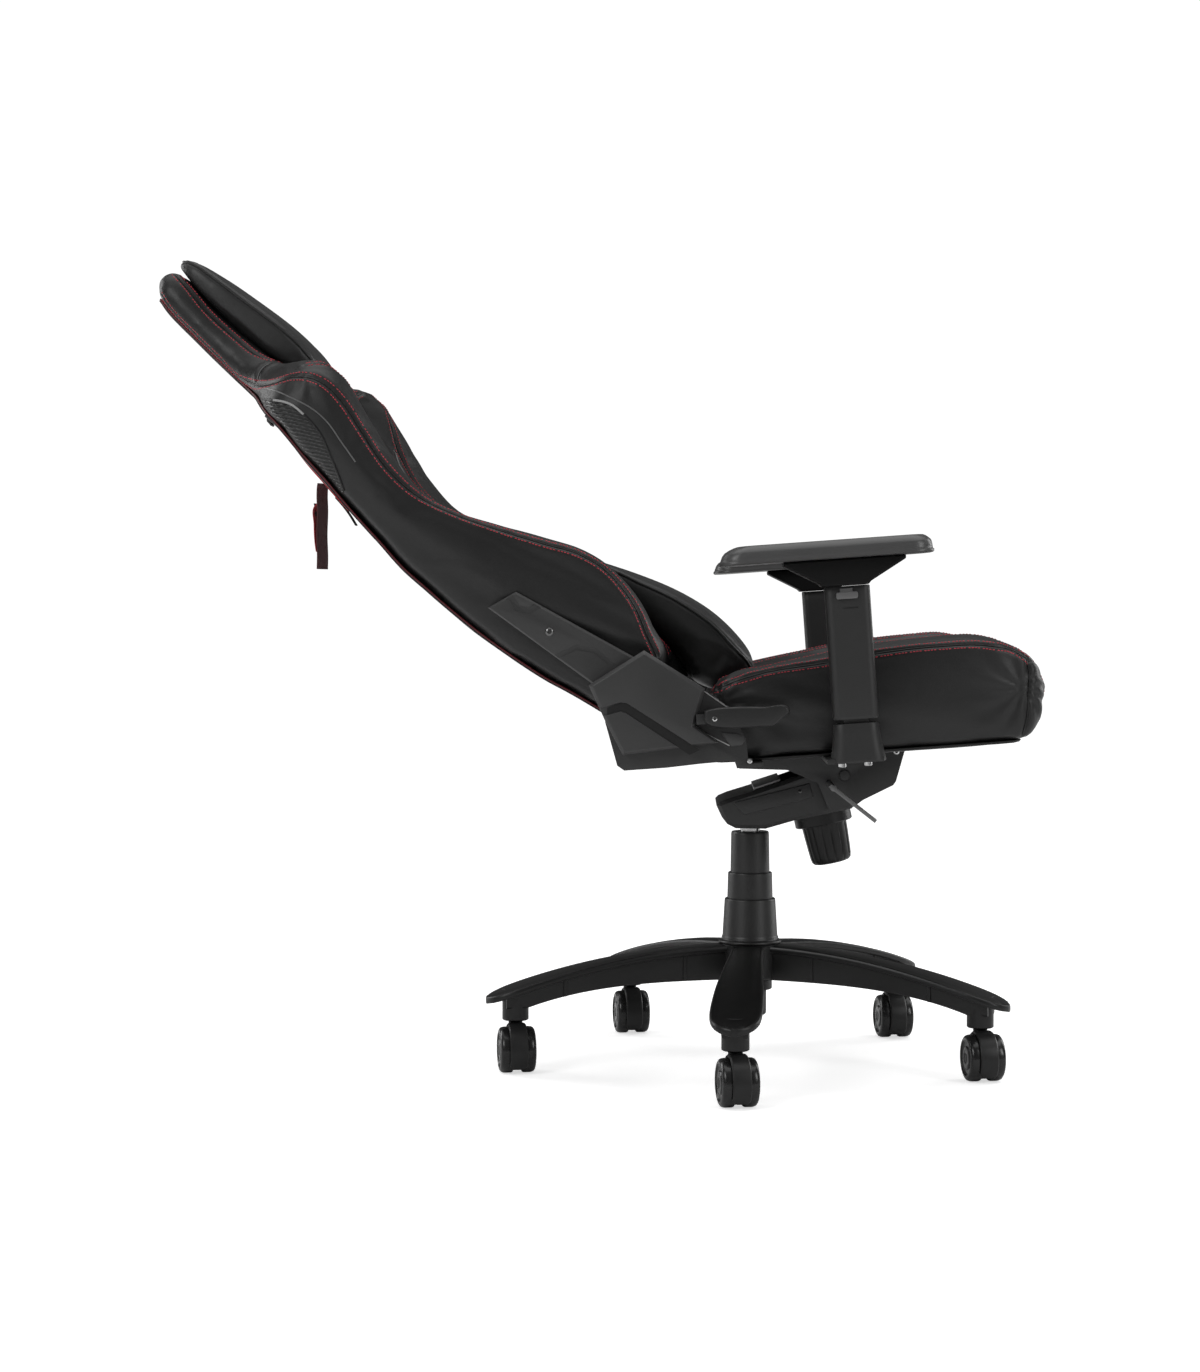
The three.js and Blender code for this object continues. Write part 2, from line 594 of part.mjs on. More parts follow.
// The strap's loose end hangs straight down, so it is drawn in the upright frame of the column.
const TAIL_TOP = { x: -543, y: -137.5, z: 753 };
const TAIL_TWIST = 25;
function strapTail() {
  const ribbon = box(-1.5, 1.5, -12.5, 12.5, -108, -6).rotateZ(-TAIL_TWIST * DEG);
  return ribbon.translate(TAIL_TOP.x, TAIL_TOP.y, TAIL_TOP.z);
}

function backAssembly() {
  const back = new THREE.Group();
  back.position.set(HINGE.x, 0, HINGE.z);
  back.rotation.y = -RECLINE * DEG;
  back.add(named('back_frame', backFrame(), BLACK_STEEL));
  back.add(named('back_cushion', backCushion(), LEATHER));
  back.add(named('back_rear_cover', backRearCover(), LEATHER));
  back.add(named('head_pillow', pillow(HEAD_PILLOW), LEATHER));
  back.add(named('lumbar_pillow', pillow(LUMBAR_PILLOW), LEATHER));
  back.add(named('back_arm_right', backArm(-1), PLASTIC));
  back.add(named('back_arm_left', backArm(1), PLASTIC));
  back.add(named('rear_strap', rearStrap(), RED_WEBBING));
  back.add(named('strap_buckle', strapBuckle(), PLASTIC));
  return back;
}

function armrest(parent, side, label) {
  parent.add(named(`arm_bracket_${label}`, armBracket(side), BLACK_STEEL));
  parent.add(named(`arm_post_${label}`, armPost(side), STEEL));
  parent.add(named(`arm_sleeve_${label}`, armSleeve(side), PLASTIC));
  parent.add(named(`arm_button_${label}`, armButton(side), PLASTIC));
  parent.add(named(`arm_carrier_${label}`, armCarrier(side), PLASTIC));
  parent.add(named(`arm_pad_${label}`, armPad(side), PLASTIC));
}

function seatAssembly() {
  const seat = new THREE.Group();
  seat.position.set(SHAFT.x, 0, SHAFT.z);
  seat.rotation.y = -SEAT_ANGLE * DEG;
  seat.add(named('seat_plate', seatPlate(), BLACK_STEEL));
  seat.add(named('height_lever', handLever(-1, 190), STEEL));
  seat.add(named('tilt_lock_lever', handLever(1, 190), STEEL));
  seat.add(named('seat_frame', seatFrame(), BLACK_STEEL));
  seat.add(named('seat_cushion', seatCushion(), LEATHER));
  seat.add(named('seat_base_cover', seatBaseCover(), LEATHER));
  for (const [side, label] of [[-1, 'right'], [1, 'left']]) {
    seat.add(named(`side_bracket_${label}`, sideBracket(side), BLACK_STEEL));
    seat.add(named(`recliner_cover_${label}`, reclinerCover(side), PLASTIC));
    armrest(seat, side, label);
  }
  seat.add(named('cross_rod', pinY(ROD_R, HINGE.x, HINGE.z, -278, 278, 16), STEEL));
  seat.add(named('recline_lever', reclineLever(), PLASTIC));
  seat.add(backAssembly());
  return seat;
}

// ---- The whole chair ----------------------------------------------------------------------------
const chair = new THREE.Group();
chair.position.x = COLUMN_X;
chair.add(named('star_base', starBase(), CASTING));
chair.add(named('column_tube', columnTube(), BLACK_STEEL));
chair.add(named('cover_lower', coverLower(), PLASTIC));
chair.add(named('cover_middle', coverMiddle(), PLASTIC));
chair.add(named('cover_upper', coverUpper(), PLASTIC));
chair.add(named('gas_cylinder', gasCylinder(), STEEL));
casters(chair);
mechanism(chair);
chair.add(seatAssembly());
chair.add(named('strap_tail', strapTail(), RED_WEBBING));

const model = new THREE.Group();
model.add(chair);
export default model;
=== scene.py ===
"""Gaming chair: the looks.

Soft goods, trim and every visible surface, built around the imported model's bodies. Local outlines are in
millimetres in two frames: SEAT, whose origin is the tilt shaft with x along the seat and z square to it, and
BACK, whose origin is the recliner hinge with x out of the back's front and z up along the back.
"""
import json
import math
import random

import bmesh
import bpy
import numpy as np
from mathutils import Matrix, Vector
from mathutils.bvhtree import BVHTree
from mathutils.kdtree import KDTree


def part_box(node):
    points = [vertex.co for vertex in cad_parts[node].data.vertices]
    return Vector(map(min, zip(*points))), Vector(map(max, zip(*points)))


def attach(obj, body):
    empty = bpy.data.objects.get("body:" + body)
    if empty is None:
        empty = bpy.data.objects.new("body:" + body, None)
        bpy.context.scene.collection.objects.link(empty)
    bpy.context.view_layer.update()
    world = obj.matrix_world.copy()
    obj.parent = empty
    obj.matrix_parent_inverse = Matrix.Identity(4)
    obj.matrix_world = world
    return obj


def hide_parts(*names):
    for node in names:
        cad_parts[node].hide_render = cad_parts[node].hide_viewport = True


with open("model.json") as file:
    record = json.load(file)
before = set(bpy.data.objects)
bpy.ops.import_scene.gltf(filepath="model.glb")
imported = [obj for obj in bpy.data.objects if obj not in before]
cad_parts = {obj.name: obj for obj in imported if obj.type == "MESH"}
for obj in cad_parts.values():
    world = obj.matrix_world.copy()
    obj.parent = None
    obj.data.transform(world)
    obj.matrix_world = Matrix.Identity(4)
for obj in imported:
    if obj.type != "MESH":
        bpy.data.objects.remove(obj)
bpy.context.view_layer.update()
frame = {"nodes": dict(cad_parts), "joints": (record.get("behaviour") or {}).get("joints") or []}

MM = 0.001
SEED = 7
JOINTS = {joint["name"]: joint for joint in frame["joints"]}


# ---- Frames ----
def axes_at(origin, x_axis=None, z_axis=None):
    """Millimetre frame with +Y to the sitter's left and the given x or z direction."""
    y = Vector((0, 1, 0))
    if x_axis is not None:
        x = Vector(x_axis).normalized()
        z = x.cross(y)
    else:
        z = Vector(z_axis).normalized()
        x = y.cross(z)
    rotation = Matrix((x, y, z)).transposed().to_4x4()
    return Matrix.Translation(Vector(origin)) @ rotation @ Matrix.Scale(MM, 4)


SEAT = axes_at(JOINTS["seat_tilt"]["pos_m"], x_axis=JOINTS["arm_right_slide"]["axis"])
BACK = axes_at(JOINTS["recline"]["pos_m"], z_axis=JOINTS["lumbar_slide"]["axis"])
COLUMN = Vector(JOINTS["seat_swivel"]["pos_m"])
SIDES = ((-1, "right"), (1, "left"))
OUTSIDE = 420                # millimetres from the middle, farther out than any side of the chair
IN_FRONT = 300               # millimetres from the recliner hinge, farther out than the back's front or rear
ABOVE = 170                  # millimetres over the tilt shaft, higher than the middle of the seat
FLOOR = Matrix.Translation(Vector((COLUMN.x, 0, 0))) @ Matrix.Scale(MM, 4)


def extent(node, place):
    """Lowest and highest corner of a CAD node in a millimetre frame."""
    inverse = place.inverted()
    points = np.array([inverse @ vertex.co for vertex in frame["nodes"][node].data.vertices])
    return Vector(points.min(0)), Vector(points.max(0))


def outer_face(node, place, side):
    """The y of a CAD node's outermost face on side -1 or +1."""
    low, high = extent(node, place)
    return low.y if side < 0 else high.y


def slab(face, side, inward, outward):
    """Two rising y values: some way in and some way out from a face on side -1 or +1."""
    return sorted((face - side * inward, face + side * outward))


# ---- Camera, light and floor ----
CAMERA_DISTANCE = 3.540      # from the column, square to the chair's side
CAMERA_HEIGHT = 0.586
CAMERA_BEHIND = 0.0866       # the camera stands this far behind the column
AIM_LEFT = 0.0311            # tangents of the small turn that centres the chair
AIM_DOWN = 0.0259
LENS = 70.93
SENSOR = 36.0


def make_camera():
    data = bpy.data.cameras.new("camera")
    data.sensor_width = SENSOR
    data.lens = LENS
    data.clip_end = 60
    camera = bpy.data.objects.new("camera", data)
    bpy.context.scene.collection.objects.link(camera)
    camera.location = (COLUMN.x - CAMERA_BEHIND, -CAMERA_DISTANCE, CAMERA_HEIGHT)
    aim = Vector((-AIM_LEFT, 1, -AIM_DOWN))
    camera.rotation_mode = "QUATERNION"
    camera.rotation_quaternion = aim.to_track_quat("-Z", "Y")
    bpy.context.scene.camera = camera


def softbox(name, place, target, size, power):
    """A soft rectangular light. Place and target in metres, size in metres, power in watts."""
    data = bpy.data.lights.new(name, "AREA")
    data.shape = "RECTANGLE"
    data.size, data.size_y = size
    data.energy = power
    light = bpy.data.objects.new(name, data)
    bpy.context.scene.collection.objects.link(light)
    light.location = place
    direction = Vector(target) - Vector(place)
    light.rotation_mode = "QUATERNION"
    light.rotation_quaternion = direction.to_track_quat("-Z", "Y")


SKY_POWER = 1.6              # from straight above, so it leaves upright faces dark
AMBIENT = 0.10
BACKDROP = 1.05
FLOOR_LIFT = 0.62            # light that the floor itself shows, so that it ends as white as the backdrop
FLOOR_REACH = 14.0


def make_world():
    """A white backdrop behind everything, which gives only a little light of its own."""
    world = bpy.data.worlds.new("studio")
    world.use_nodes = True
    tree = world.node_tree
    background = tree.nodes["Background"]
    background.inputs["Color"].default_value = (1.0, 1.0, 1.0, 1.0)
    path = tree.nodes.new("ShaderNodeLightPath")
    level = tree.nodes.new("ShaderNodeMapRange")
    level.inputs["To Min"].default_value = AMBIENT
    level.inputs["To Max"].default_value = BACKDROP
    tree.links.new(path.outputs["Is Camera Ray"], level.inputs["Value"])
    tree.links.new(level.outputs["Result"], background.inputs["Strength"])
    bpy.context.scene.world = world
    bpy.context.scene.view_settings.view_transform = "Standard"


def make_studio():
    softbox("key_left", (-2.4, -2.8, 2.4), (-0.1, 0, 0.6), (1.6, 1.6), 50)
    softbox("key_right", (2.8, -2.3, 1.9), (0.2, 0, 0.5), (1.0, 1.8), 34)
    softbox("rim_left", (-3.0, 1.6, 1.6), (-0.2, 0, 0.7), (1.2, 2.4), 36)
    softbox("rim_right", (3.0, 1.8, 1.5), (0.2, 0, 0.5), (1.2, 2.4), 36)
    sky = bpy.data.lights.new("sky_panel", "SUN")
    sky.energy = SKY_POWER
    sky.angle = math.radians(70)
    panel = bpy.data.objects.new("sky_panel", sky)
    bpy.context.scene.collection.objects.link(panel)
    panel.rotation_euler = (math.radians(-8), 0, 0)
    make_world()
    mesh = bpy.data.meshes.new("floor")
    corners = [(x * FLOOR_REACH, y * FLOOR_REACH, 0) for x, y in ((-1, -1), (1, -1), (1, 1), (-1, 1))]
    mesh.from_pydata(corners, [], [(0, 1, 2, 3)])
    floor = bpy.data.objects.new("floor", mesh)
    bpy.context.scene.collection.objects.link(floor)
    floor.data.materials.append(floor_material())


# ---- Materials ----
class Shader:
    """A material with a Principled shader, and short calls for the nodes that feed it."""

    def __init__(self, name, roughness=0.5, metallic=0.0, **constants):
        self.material = bpy.data.materials.new(name)
        self.material.use_nodes = True
        self.tree = self.material.node_tree
        self.shader = self.tree.nodes["Principled BSDF"]
        self.shader.inputs["Roughness"].default_value = roughness
        self.shader.inputs["Metallic"].default_value = metallic
        for key, value in constants.items():
            self.shader.inputs[key.replace("_", " ")].default_value = value
        self.coordinates = self.node("ShaderNodeTexCoord").outputs["Object"]

    def node(self, kind, **settings):
        made = self.tree.nodes.new(kind)
        for key, value in settings.items():
            setattr(made, key, value)
        return made

    def link(self, source, target):
        self.tree.links.new(source, target)

    def feed(self, node, socket, value):
        if isinstance(value, (int, float, tuple)):
            node.inputs[socket].default_value = value
        else:
            self.link(value, node.inputs[socket])

    def noise(self, scale, detail=3.0, roughness=0.55, vector=None):
        made = self.node("ShaderNodeTexNoise")
        self.link(vector or self.coordinates, made.inputs["Vector"])
        made.inputs["Scale"].default_value = scale
        made.inputs["Detail"].default_value = detail
        made.inputs["Roughness"].default_value = roughness
        return made.outputs["Fac"]

    def cells(self, scale, feature="F1"):
        made = self.node("ShaderNodeTexVoronoi", feature=feature)
        self.link(self.coordinates, made.inputs["Vector"])
        made.inputs["Scale"].default_value = scale
        return made.outputs["Distance"]

    def waves(self, scale, direction="X", vector=None, distortion=0.0):
        made = self.node("ShaderNodeTexWave", wave_type="BANDS", bands_direction=direction)
        self.link(vector or self.coordinates, made.inputs["Vector"])
        made.inputs["Scale"].default_value = scale
        made.inputs["Distortion"].default_value = distortion
        return made.outputs["Fac"]

    def stretched(self, scale, rotation=(0, 0, 0)):
        made = self.node("ShaderNodeMapping")
        self.link(self.coordinates, made.inputs["Vector"])
        made.inputs["Scale"].default_value = scale
        made.inputs["Rotation"].default_value = rotation
        return made.outputs["Vector"]

    def ramp(self, value, low, high, start=0.0, end=1.0):
        made = self.node("ShaderNodeMapRange")
        self.feed(made, "Value", value)
        made.inputs["From Min"].default_value = start
        made.inputs["From Max"].default_value = end
        made.inputs["To Min"].default_value = low
        made.inputs["To Max"].default_value = high
        return made.outputs["Result"]

    def maths(self, operation, first, second):
        made = self.node("ShaderNodeMath", operation=operation)
        self.feed(made, 0, first)
        self.feed(made, 1, second)
        return made.outputs[0]

    def blend(self, factor, first, second):
        made = self.node("ShaderNodeMix", data_type="RGBA")
        self.feed(made, "Factor", factor)
        self.feed(made, 6, first)
        self.feed(made, 7, second)
        return made.outputs[2]

    def colour(self, value):
        self.feed(self.shader, "Base Color", value)

    def rough(self, value):
        self.link(value, self.shader.inputs["Roughness"])

    def bump(self, height, distance, strength=1.0, under=None):
        made = self.node("ShaderNodeBump")
        made.inputs["Strength"].default_value = strength
        made.inputs["Distance"].default_value = distance
        self.link(height, made.inputs["Height"])
        if under is not None:
            self.link(under, made.inputs["Normal"])
        self.link(made.outputs["Normal"], self.shader.inputs["Normal"])
        return made.outputs["Normal"]


def grey(level, warmth=0.0):
    return (level * (1 + warmth), level, level * (1 - warmth), 1.0)


def floor_material():
    made = Shader("studio_floor", roughness=0.8)
    shade = made.ramp(made.noise(2.0), 0.0, 1.0)
    made.colour(made.blend(shade, grey(0.84), grey(0.86)))
    made.shader.inputs["Emission Color"].default_value = grey(1.0)
    seen = made.node("ShaderNodeLightPath").outputs["Is Camera Ray"]
    made.link(made.ramp(seen, 0.0, FLOOR_LIFT), made.shader.inputs["Emission Strength"])
    return made.material


def leather_material(name, tone):
    """Leatherette: pebbled grain, fine creases and broad wrinkles."""
    made = Shader(name, roughness=0.44, Specular_IOR_Level=0.42)
    pebbles = made.cells(780.0)
    creases = made.cells(360.0, feature="DISTANCE_TO_EDGE")
    broad = made.noise(9.0, detail=4.0)
    wrinkles = made.noise(70.0, detail=5.0)
    made.colour(made.blend(broad, grey(tone * 0.85), grey(tone * 1.35)))
    made.rough(made.maths("ADD", made.ramp(broad, 0.36, 0.46), made.ramp(pebbles, 0.0, 0.08)))
    first = made.bump(wrinkles, 0.0006, 0.3)
    second = made.bump(made.ramp(creases, 0.0, 1.0, 0.0, 0.12), 0.00012, 0.25, under=first)
    made.bump(pebbles, 0.00014, 0.25, under=second)
    return made.material


def thread_material():
    made = Shader("red_thread", roughness=0.6, Sheen_Weight=0.3, Sheen_Roughness=0.4)
    twist = made.waves(900.0, "DIAGONAL")
    made.colour(made.blend(twist, (0.36, 0.012, 0.028, 1), (0.62, 0.035, 0.06, 1)))
    made.bump(twist, 0.0002, 0.4)
    return made.material


def piping_material(name, dark, light):
    made = Shader(name, roughness=0.55)
    fleck = made.noise(600.0)
    made.colour(made.blend(fleck, dark, light))
    made.bump(fleck, 0.0002, 0.3)
    return made.material


def silver_piping_material():
    made = Shader("grey_piping", roughness=0.35, metallic=0.2)
    fleck = made.noise(500.0)
    made.colour(made.blend(fleck, grey(0.09), grey(0.14)))
    made.bump(fleck, 0.0001, 0.3)
    return made.material


def plastic_material(name, tone, roughness, grain=0.3, edge=0.0, shine=0.5):
    """Moulded plastic with a fine spark-eroded grain. Edge is how much its corners are painted paler: part
    rubbed wear, part painted highlight.
    """
    made = Shader(name, roughness=roughness, Specular_IOR_Level=shine)
    broad = made.noise(14.0)
    fine = made.noise(1500.0, detail=2.0)
    body = made.blend(broad, grey(tone * 0.9), grey(tone * 1.12))
    if edge > 0:
        # Pointiness paints the corners paler: partly rubbed wear, partly painted highlight on the edges.
        pointed = made.node("ShaderNodeNewGeometry").outputs["Pointiness"]
        wear_and_highlight = made.ramp(pointed, 0.0, edge, 0.508, 0.57)
        body = made.blend(wear_and_highlight, body, grey(tone * 2.6))
    made.colour(body)
    made.rough(made.ramp(broad, roughness * 0.88, roughness * 1.12))
    made.bump(fine, 0.00012, grain)
    return made.material


def gloss_material():
    made = Shader("gloss_black", roughness=0.24, Specular_IOR_Level=0.4, Coat_Weight=0.12,
                  Coat_Roughness=0.1)
    smear = made.noise(40.0, detail=5.0)
    made.colour(made.blend(smear, grey(0.008), grey(0.014)))
    made.rough(made.ramp(smear, 0.2, 0.34))
    made.bump(made.noise(160.0), 0.0001, 0.08)
    return made.material


def powder_material():
    made = Shader("black_powder_coat", roughness=0.45)
    tone = 0.018
    fine = made.noise(900.0, detail=2.0)
    broad = made.noise(20.0)
    made.colour(made.blend(broad, grey(tone * 0.85), grey(tone * 1.3)))
    made.rough(made.ramp(fine, 0.36, 0.54))
    made.bump(fine, 0.00018, 0.3)
    return made.material


def steel_material(name, tone, roughness):
    """Metal brushed along X."""
    made = Shader(name, roughness=roughness, metallic=1.0)
    brushed = made.noise(40.0, detail=4.0, vector=made.stretched((1.0, 60.0, 60.0)))
    made.colour(made.blend(brushed, grey(tone * 0.85), grey(tone * 1.1)))
    made.rough(made.ramp(brushed, roughness * 0.75, roughness * 1.3))
    made.bump(brushed, 0.00006, 0.2)
    return made.material


def carbon_material():
    made = Shader("ribbed_insert", roughness=0.4)
    slanted = made.stretched((1, 1, 1), (0, math.radians(-14), 0))
    ribs = made.waves(78.0, "Z", vector=slanted, distortion=0.4)
    made.colour(made.blend(ribs, grey(0.004), grey(0.02)))
    made.rough(made.ramp(ribs, 0.6, 0.34))
    made.bump(ribs, 0.0012, 0.8)
    return made.material


def webbing_material(name, dark, light):
    made = Shader(name, roughness=0.75, Sheen_Weight=0.25, Sheen_Roughness=0.5)
    warp = made.waves(330.0, "Z")
    weft = made.waves(420.0, "Y")
    weave = made.maths("MULTIPLY", warp, weft)
    made.colour(made.blend(weave, dark, light))
    made.bump(weave, 0.0006, 0.7)
    return made.material


def cloth_material():
    made = Shader("underside_cloth", roughness=0.9)
    weave = made.maths("MULTIPLY", made.waves(260.0, "X"), made.waves(260.0, "Y"))
    made.colour(made.blend(weave, grey(0.008), grey(0.03)))
    made.bump(weave, 0.0005, 0.6)
    return made.material


MATERIALS = {
    "leather": leather_material("black_leatherette", 0.0085),
    "pale_leather": leather_material("pillow_leatherette", 0.018),
    "panel": leather_material("rear_leatherette", 0.010),
    "thread": thread_material(),
    "dark_piping": piping_material("dark_red_piping", (0.06, 0.004, 0.007, 1), (0.13, 0.010, 0.016, 1)),
    "silver": silver_piping_material(),
    "trim": plastic_material("grey_trim_plastic", 0.026, 0.42, 0.35, edge=0.6),
    "arm": plastic_material("arm_plastic", 0.014, 0.5, 0.3),
    "carrier": plastic_material("arm_carrier_plastic", 0.004, 0.5, 0.3, shine=0.16),
    "key": plastic_material("arm_key_plastic", 0.11, 0.3, 0.2),
    "handle": plastic_material("recline_handle_plastic", 0.014, 0.42, 0.35, edge=0.5, shine=0.4),
    # Pale plastic for painted highlights along edges.
    "painted_highlight": plastic_material("painted_highlight_plastic", 0.3, 0.35, 0.2),
    "pad": plastic_material("arm_pad_skin", 0.06, 0.36, 0.6),
    "nylon": plastic_material("base_nylon", 0.006, 0.36, 0.3, edge=0.7, shine=0.34),
    "cover": plastic_material("column_plastic", 0.015, 0.42, 0.3),
    "housing": plastic_material("housing_plastic", 0.023, 0.45, 0.5),
    "knob": plastic_material("knob_plastic", 0.007, 0.42, 0.4, shine=0.36),
    "hood": plastic_material("caster_hood_nylon", 0.014, 0.42, 0.25, shine=0.34),
    "gloss": gloss_material(),
    "powder": powder_material(),
    "lever": steel_material("lever_steel", 0.2, 0.38),
    "chrome": steel_material("plated_steel", 0.62, 0.16),
    "screw": steel_material("screw_steel", 0.16, 0.3),
    "carbon": carbon_material(),
    "red_web": webbing_material("red_webbing", (0.30, 0.004, 0.010, 1), (0.70, 0.012, 0.03, 1)),
    # Red webbing painted darker: painted shade on the hanging strap end.
    "shaded_red_web": webbing_material("shaded_red_webbing", (0.05, 0.004, 0.006, 1), (0.16, 0.012, 0.018, 1)),
    "dark_web": webbing_material("black_webbing", grey(0.006), grey(0.03)),
    "cloth": cloth_material(),
}


# ---- Mesh helpers ----
def add(name, points, faces, place=None):
    """A new object from points, given in metres or in a millimetre frame."""
    if place is not None:
        points = [place @ Vector(point) for point in points]
    mesh = bpy.data.meshes.new(name)
    mesh.from_pydata([tuple(point) for point in points], [], faces)
    made = bpy.data.objects.new(name, mesh)
    bpy.context.scene.collection.objects.link(made)
    tidy_normals(made)
    return made


def tidy_normals(obj):
    work = bmesh.new()
    work.from_mesh(obj.data)
    bmesh.ops.recalc_face_normals(work, faces=work.faces)
    work.to_mesh(obj.data)
    work.free()


def hand_over(obj, body, look, slot, *nodes, angle=40):
    """Material, shading that is sharp above an angle, and the body and nodes it stands for. The slot is not
    used.
    """
    obj.data.materials.clear()
    obj.data.materials.append(MATERIALS[look])
    obj.data.shade_smooth()
    obj.data.set_sharp_from_angle(angle=math.radians(angle))
    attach(obj, body)
    if nodes:
        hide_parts(*nodes)
    return obj


def vertex_values(obj, attribute):
    flat = np.empty(len(obj.data.vertices) * 3)
    obj.data.vertices.foreach_get(attribute, flat)
    return flat.reshape(-1, 3)


def coordinates(obj):
    return vertex_values(obj, "co")


def set_coordinates(obj, points):
    obj.data.vertices.foreach_set("co", np.asarray(points, dtype=np.float64).ravel())
    obj.data.update()


def normals(obj):
    return vertex_values(obj, "normal")


def push_out(obj, distance):
    """Moves each vertex along its normal by its own distance in millimetres."""
    set_coordinates(obj, coordinates(obj) + normals(obj) * (distance * MM)[:, None])


def evaluated():
    graph = bpy.context.evaluated_depsgraph_get()
    graph.update()
    return graph


def discard(obj):
    old = obj.data
    bpy.data.objects.remove(obj)
    bpy.data.meshes.remove(old)


def apply_modifier(obj, kind, **settings):
    modifier = obj.modifiers.new("work", kind)
    for key, value in settings.items():
        setattr(modifier, key, value)
    mesh = bpy.data.meshes.new_from_object(obj.evaluated_get(evaluated()))
    obj.modifiers.clear()
    old = obj.data
    obj.data = mesh
    bpy.data.meshes.remove(old)


def join_objects(name, pieces):
    """One object made of several, which are used up."""
    work = bmesh.new()
    for piece in pieces:
        work.from_mesh(piece.data)
        discard(piece)
    mesh = bpy.data.meshes.new(name)
    work.to_mesh(mesh)
    work.free()
    made = bpy.data.objects.new(name, mesh)
    bpy.context.scene.collection.objects.link(made)
    return made


def loft(name, rings, place=None):
    """A closed skin over rings of equal point count, with a flat cap at each end."""
    count = len(rings[0])
    points = [point for ring in rings for point in ring]
    faces = []
    for i in range(len(rings) - 1):
        for j in range(count):
            a, b = i * count + j, i * count + (j + 1) % count
            faces.append((a, b, b + count, a + count))
    faces.append(tuple(reversed(range(count))))
    faces.append(tuple(range((len(rings) - 1) * count, len(rings) * count)))
    return add(name, points, faces, place)


def grid_faces(rows, columns):
    """Faces of an open sheet of points, given row by row."""
    faces = []
    for i in range(rows - 1):
        for k in range(columns - 1):
            a = i * columns + k
            faces.append((a, a + 1, a + 1 + columns, a + columns))
    return faces


def plate(name, outline, y_low, y_high, place):
    """A flat plate from an outline of (x, z) points, standing between two y values."""
    rings = [[(x, y, z) for x, z in outline] for y in (y_low, y_high)]
    return loft(name, rings, place)


def turned(name, profile, place, segments=64, axis="Z"):
    """A solid of revolution from (radius, height) points, which close on themselves or meet the axis."""
    on_axis = profile[0][0] < 1e-6
    points = []
    faces = []
    count = len(profile)
    for i in range(segments):
        turn = 2 * math.pi * i / segments
        c, s = math.cos(turn), math.sin(turn)
        for radius, height in profile:
            if axis == "Z":
                points.append((radius * c, radius * s, height))
            elif axis == "Y":
                points.append((radius * c, height, radius * s))
            else:
                points.append((height, radius * c, radius * s))
    last = count - 1 if on_axis else count
    for i in range(segments):
        for j in range(last):
            a, b = i * count + j, i * count + (j + 1) % count
            c, d = ((i + 1) % segments) * count + (j + 1) % count, ((i + 1) % segments) * count + j
            faces.append((a, b, c, d))
    made = add(name, points, faces, place)
    work = bmesh.new()
    work.from_mesh(made.data)
    bmesh.ops.remove_doubles(work, verts=work.verts, dist=1e-7)
    bmesh.ops.dissolve_degenerate(work, edges=work.edges, dist=1e-7)
    bmesh.ops.recalc_face_normals(work, faces=work.faces)
    work.to_mesh(made.data)
    work.free()
    return made


def bevel(obj, width, segments=3, angle=28):
    """Rounds every edge sharper than an angle. Width is in millimetres."""
    work = bmesh.new()
    work.from_mesh(obj.data)
    bmesh.ops.remove_doubles(work, verts=work.verts, dist=2e-6)
    bmesh.ops.dissolve_limit(work, angle_limit=math.radians(1.0), verts=work.verts, edges=work.edges)
    least = math.radians(angle)
    sharp = [edge for edge in work.edges if edge.is_manifold and edge.calc_face_angle(0) > least]
    bmesh.ops.bevel(work, geom=sharp, offset=width * MM, segments=segments, affect="EDGES", profile=0.55,
                    clamp_overlap=True)
    bmesh.ops.recalc_face_normals(work, faces=work.faces)
    work.to_mesh(obj.data)
    work.free()
    return obj


def refined(node, body, look, slot, width=0.8, segments=3, angle=40, cutters=()):
    """A finer copy of a CAD node with rounded edges, which stands for the node. Cutters carve it first."""
    made = bpy.data.objects.new("fine_" + node, frame["nodes"][node].data.copy())
    bpy.context.scene.collection.objects.link(made)
    if cutters:
        bevel(made, 0.001, segments=1, angle=170)
        carve(made, cutters)
    bevel(made, width, segments)
    return hand_over(made, body, look, slot, node, angle=angle)


def carve(obj, cutters):
    for cutter in cutters:
        apply_modifier(obj, "BOOLEAN", operation="DIFFERENCE", solver="EXACT", object=cutter)
        discard(cutter)


def tube(name, path, radius, sides=10, closed=False, ups=None):
    """A round bar along points in metres, which turns with the given up directions if there are any."""
    path = [Vector(point) for point in path]
    count = len(path)
    points = []
    faces = []
    side = None
    for i, here in enumerate(path):
        before = path[i - 1] if i or closed else here
        after = path[(i + 1) % count] if i < count - 1 or closed else here
        along = (after - before).normalized()
        if ups is not None:
            up = (Vector(ups[i]) - along * along.dot(Vector(ups[i]))).normalized()
        else:
            seed = side if side is not None else along.orthogonal()
            up = (seed - along * along.dot(seed)).normalized()
            side = up
        across = along.cross(up)
        for j in range(sides):
            turn = 2 * math.pi * j / sides
            points.append(here + (across * math.cos(turn) + up * math.sin(turn)) * radius)
    for i in range(count if closed else count - 1):
        for j in range(sides):
            a, b = i * sides + j, i * sides + (j + 1) % sides
            c, d = ((i + 1) % count) * sides + (j + 1) % sides, ((i + 1) % count) * sides + j
            faces.append((a, b, c, d))
    if not closed:
        faces.append(tuple(reversed(range(sides))))
        faces.append(tuple(range((count - 1) * sides, count * sides)))
    return add(name, points, faces)


# ---- Curves through tables ----
def hermite(t, span, start, start_slope, end, end_slope):
    """Cubic between two values with given slopes, at the part t of a span."""
    a = 2 * t ** 3 - 3 * t ** 2 + 1
    b = t ** 3 - 2 * t ** 2 + t
    c = -2 * t ** 3 + 3 * t ** 2
    d = t ** 3 - t ** 2
    return a * start + b * span * start_slope + c * end + d * span * end_slope


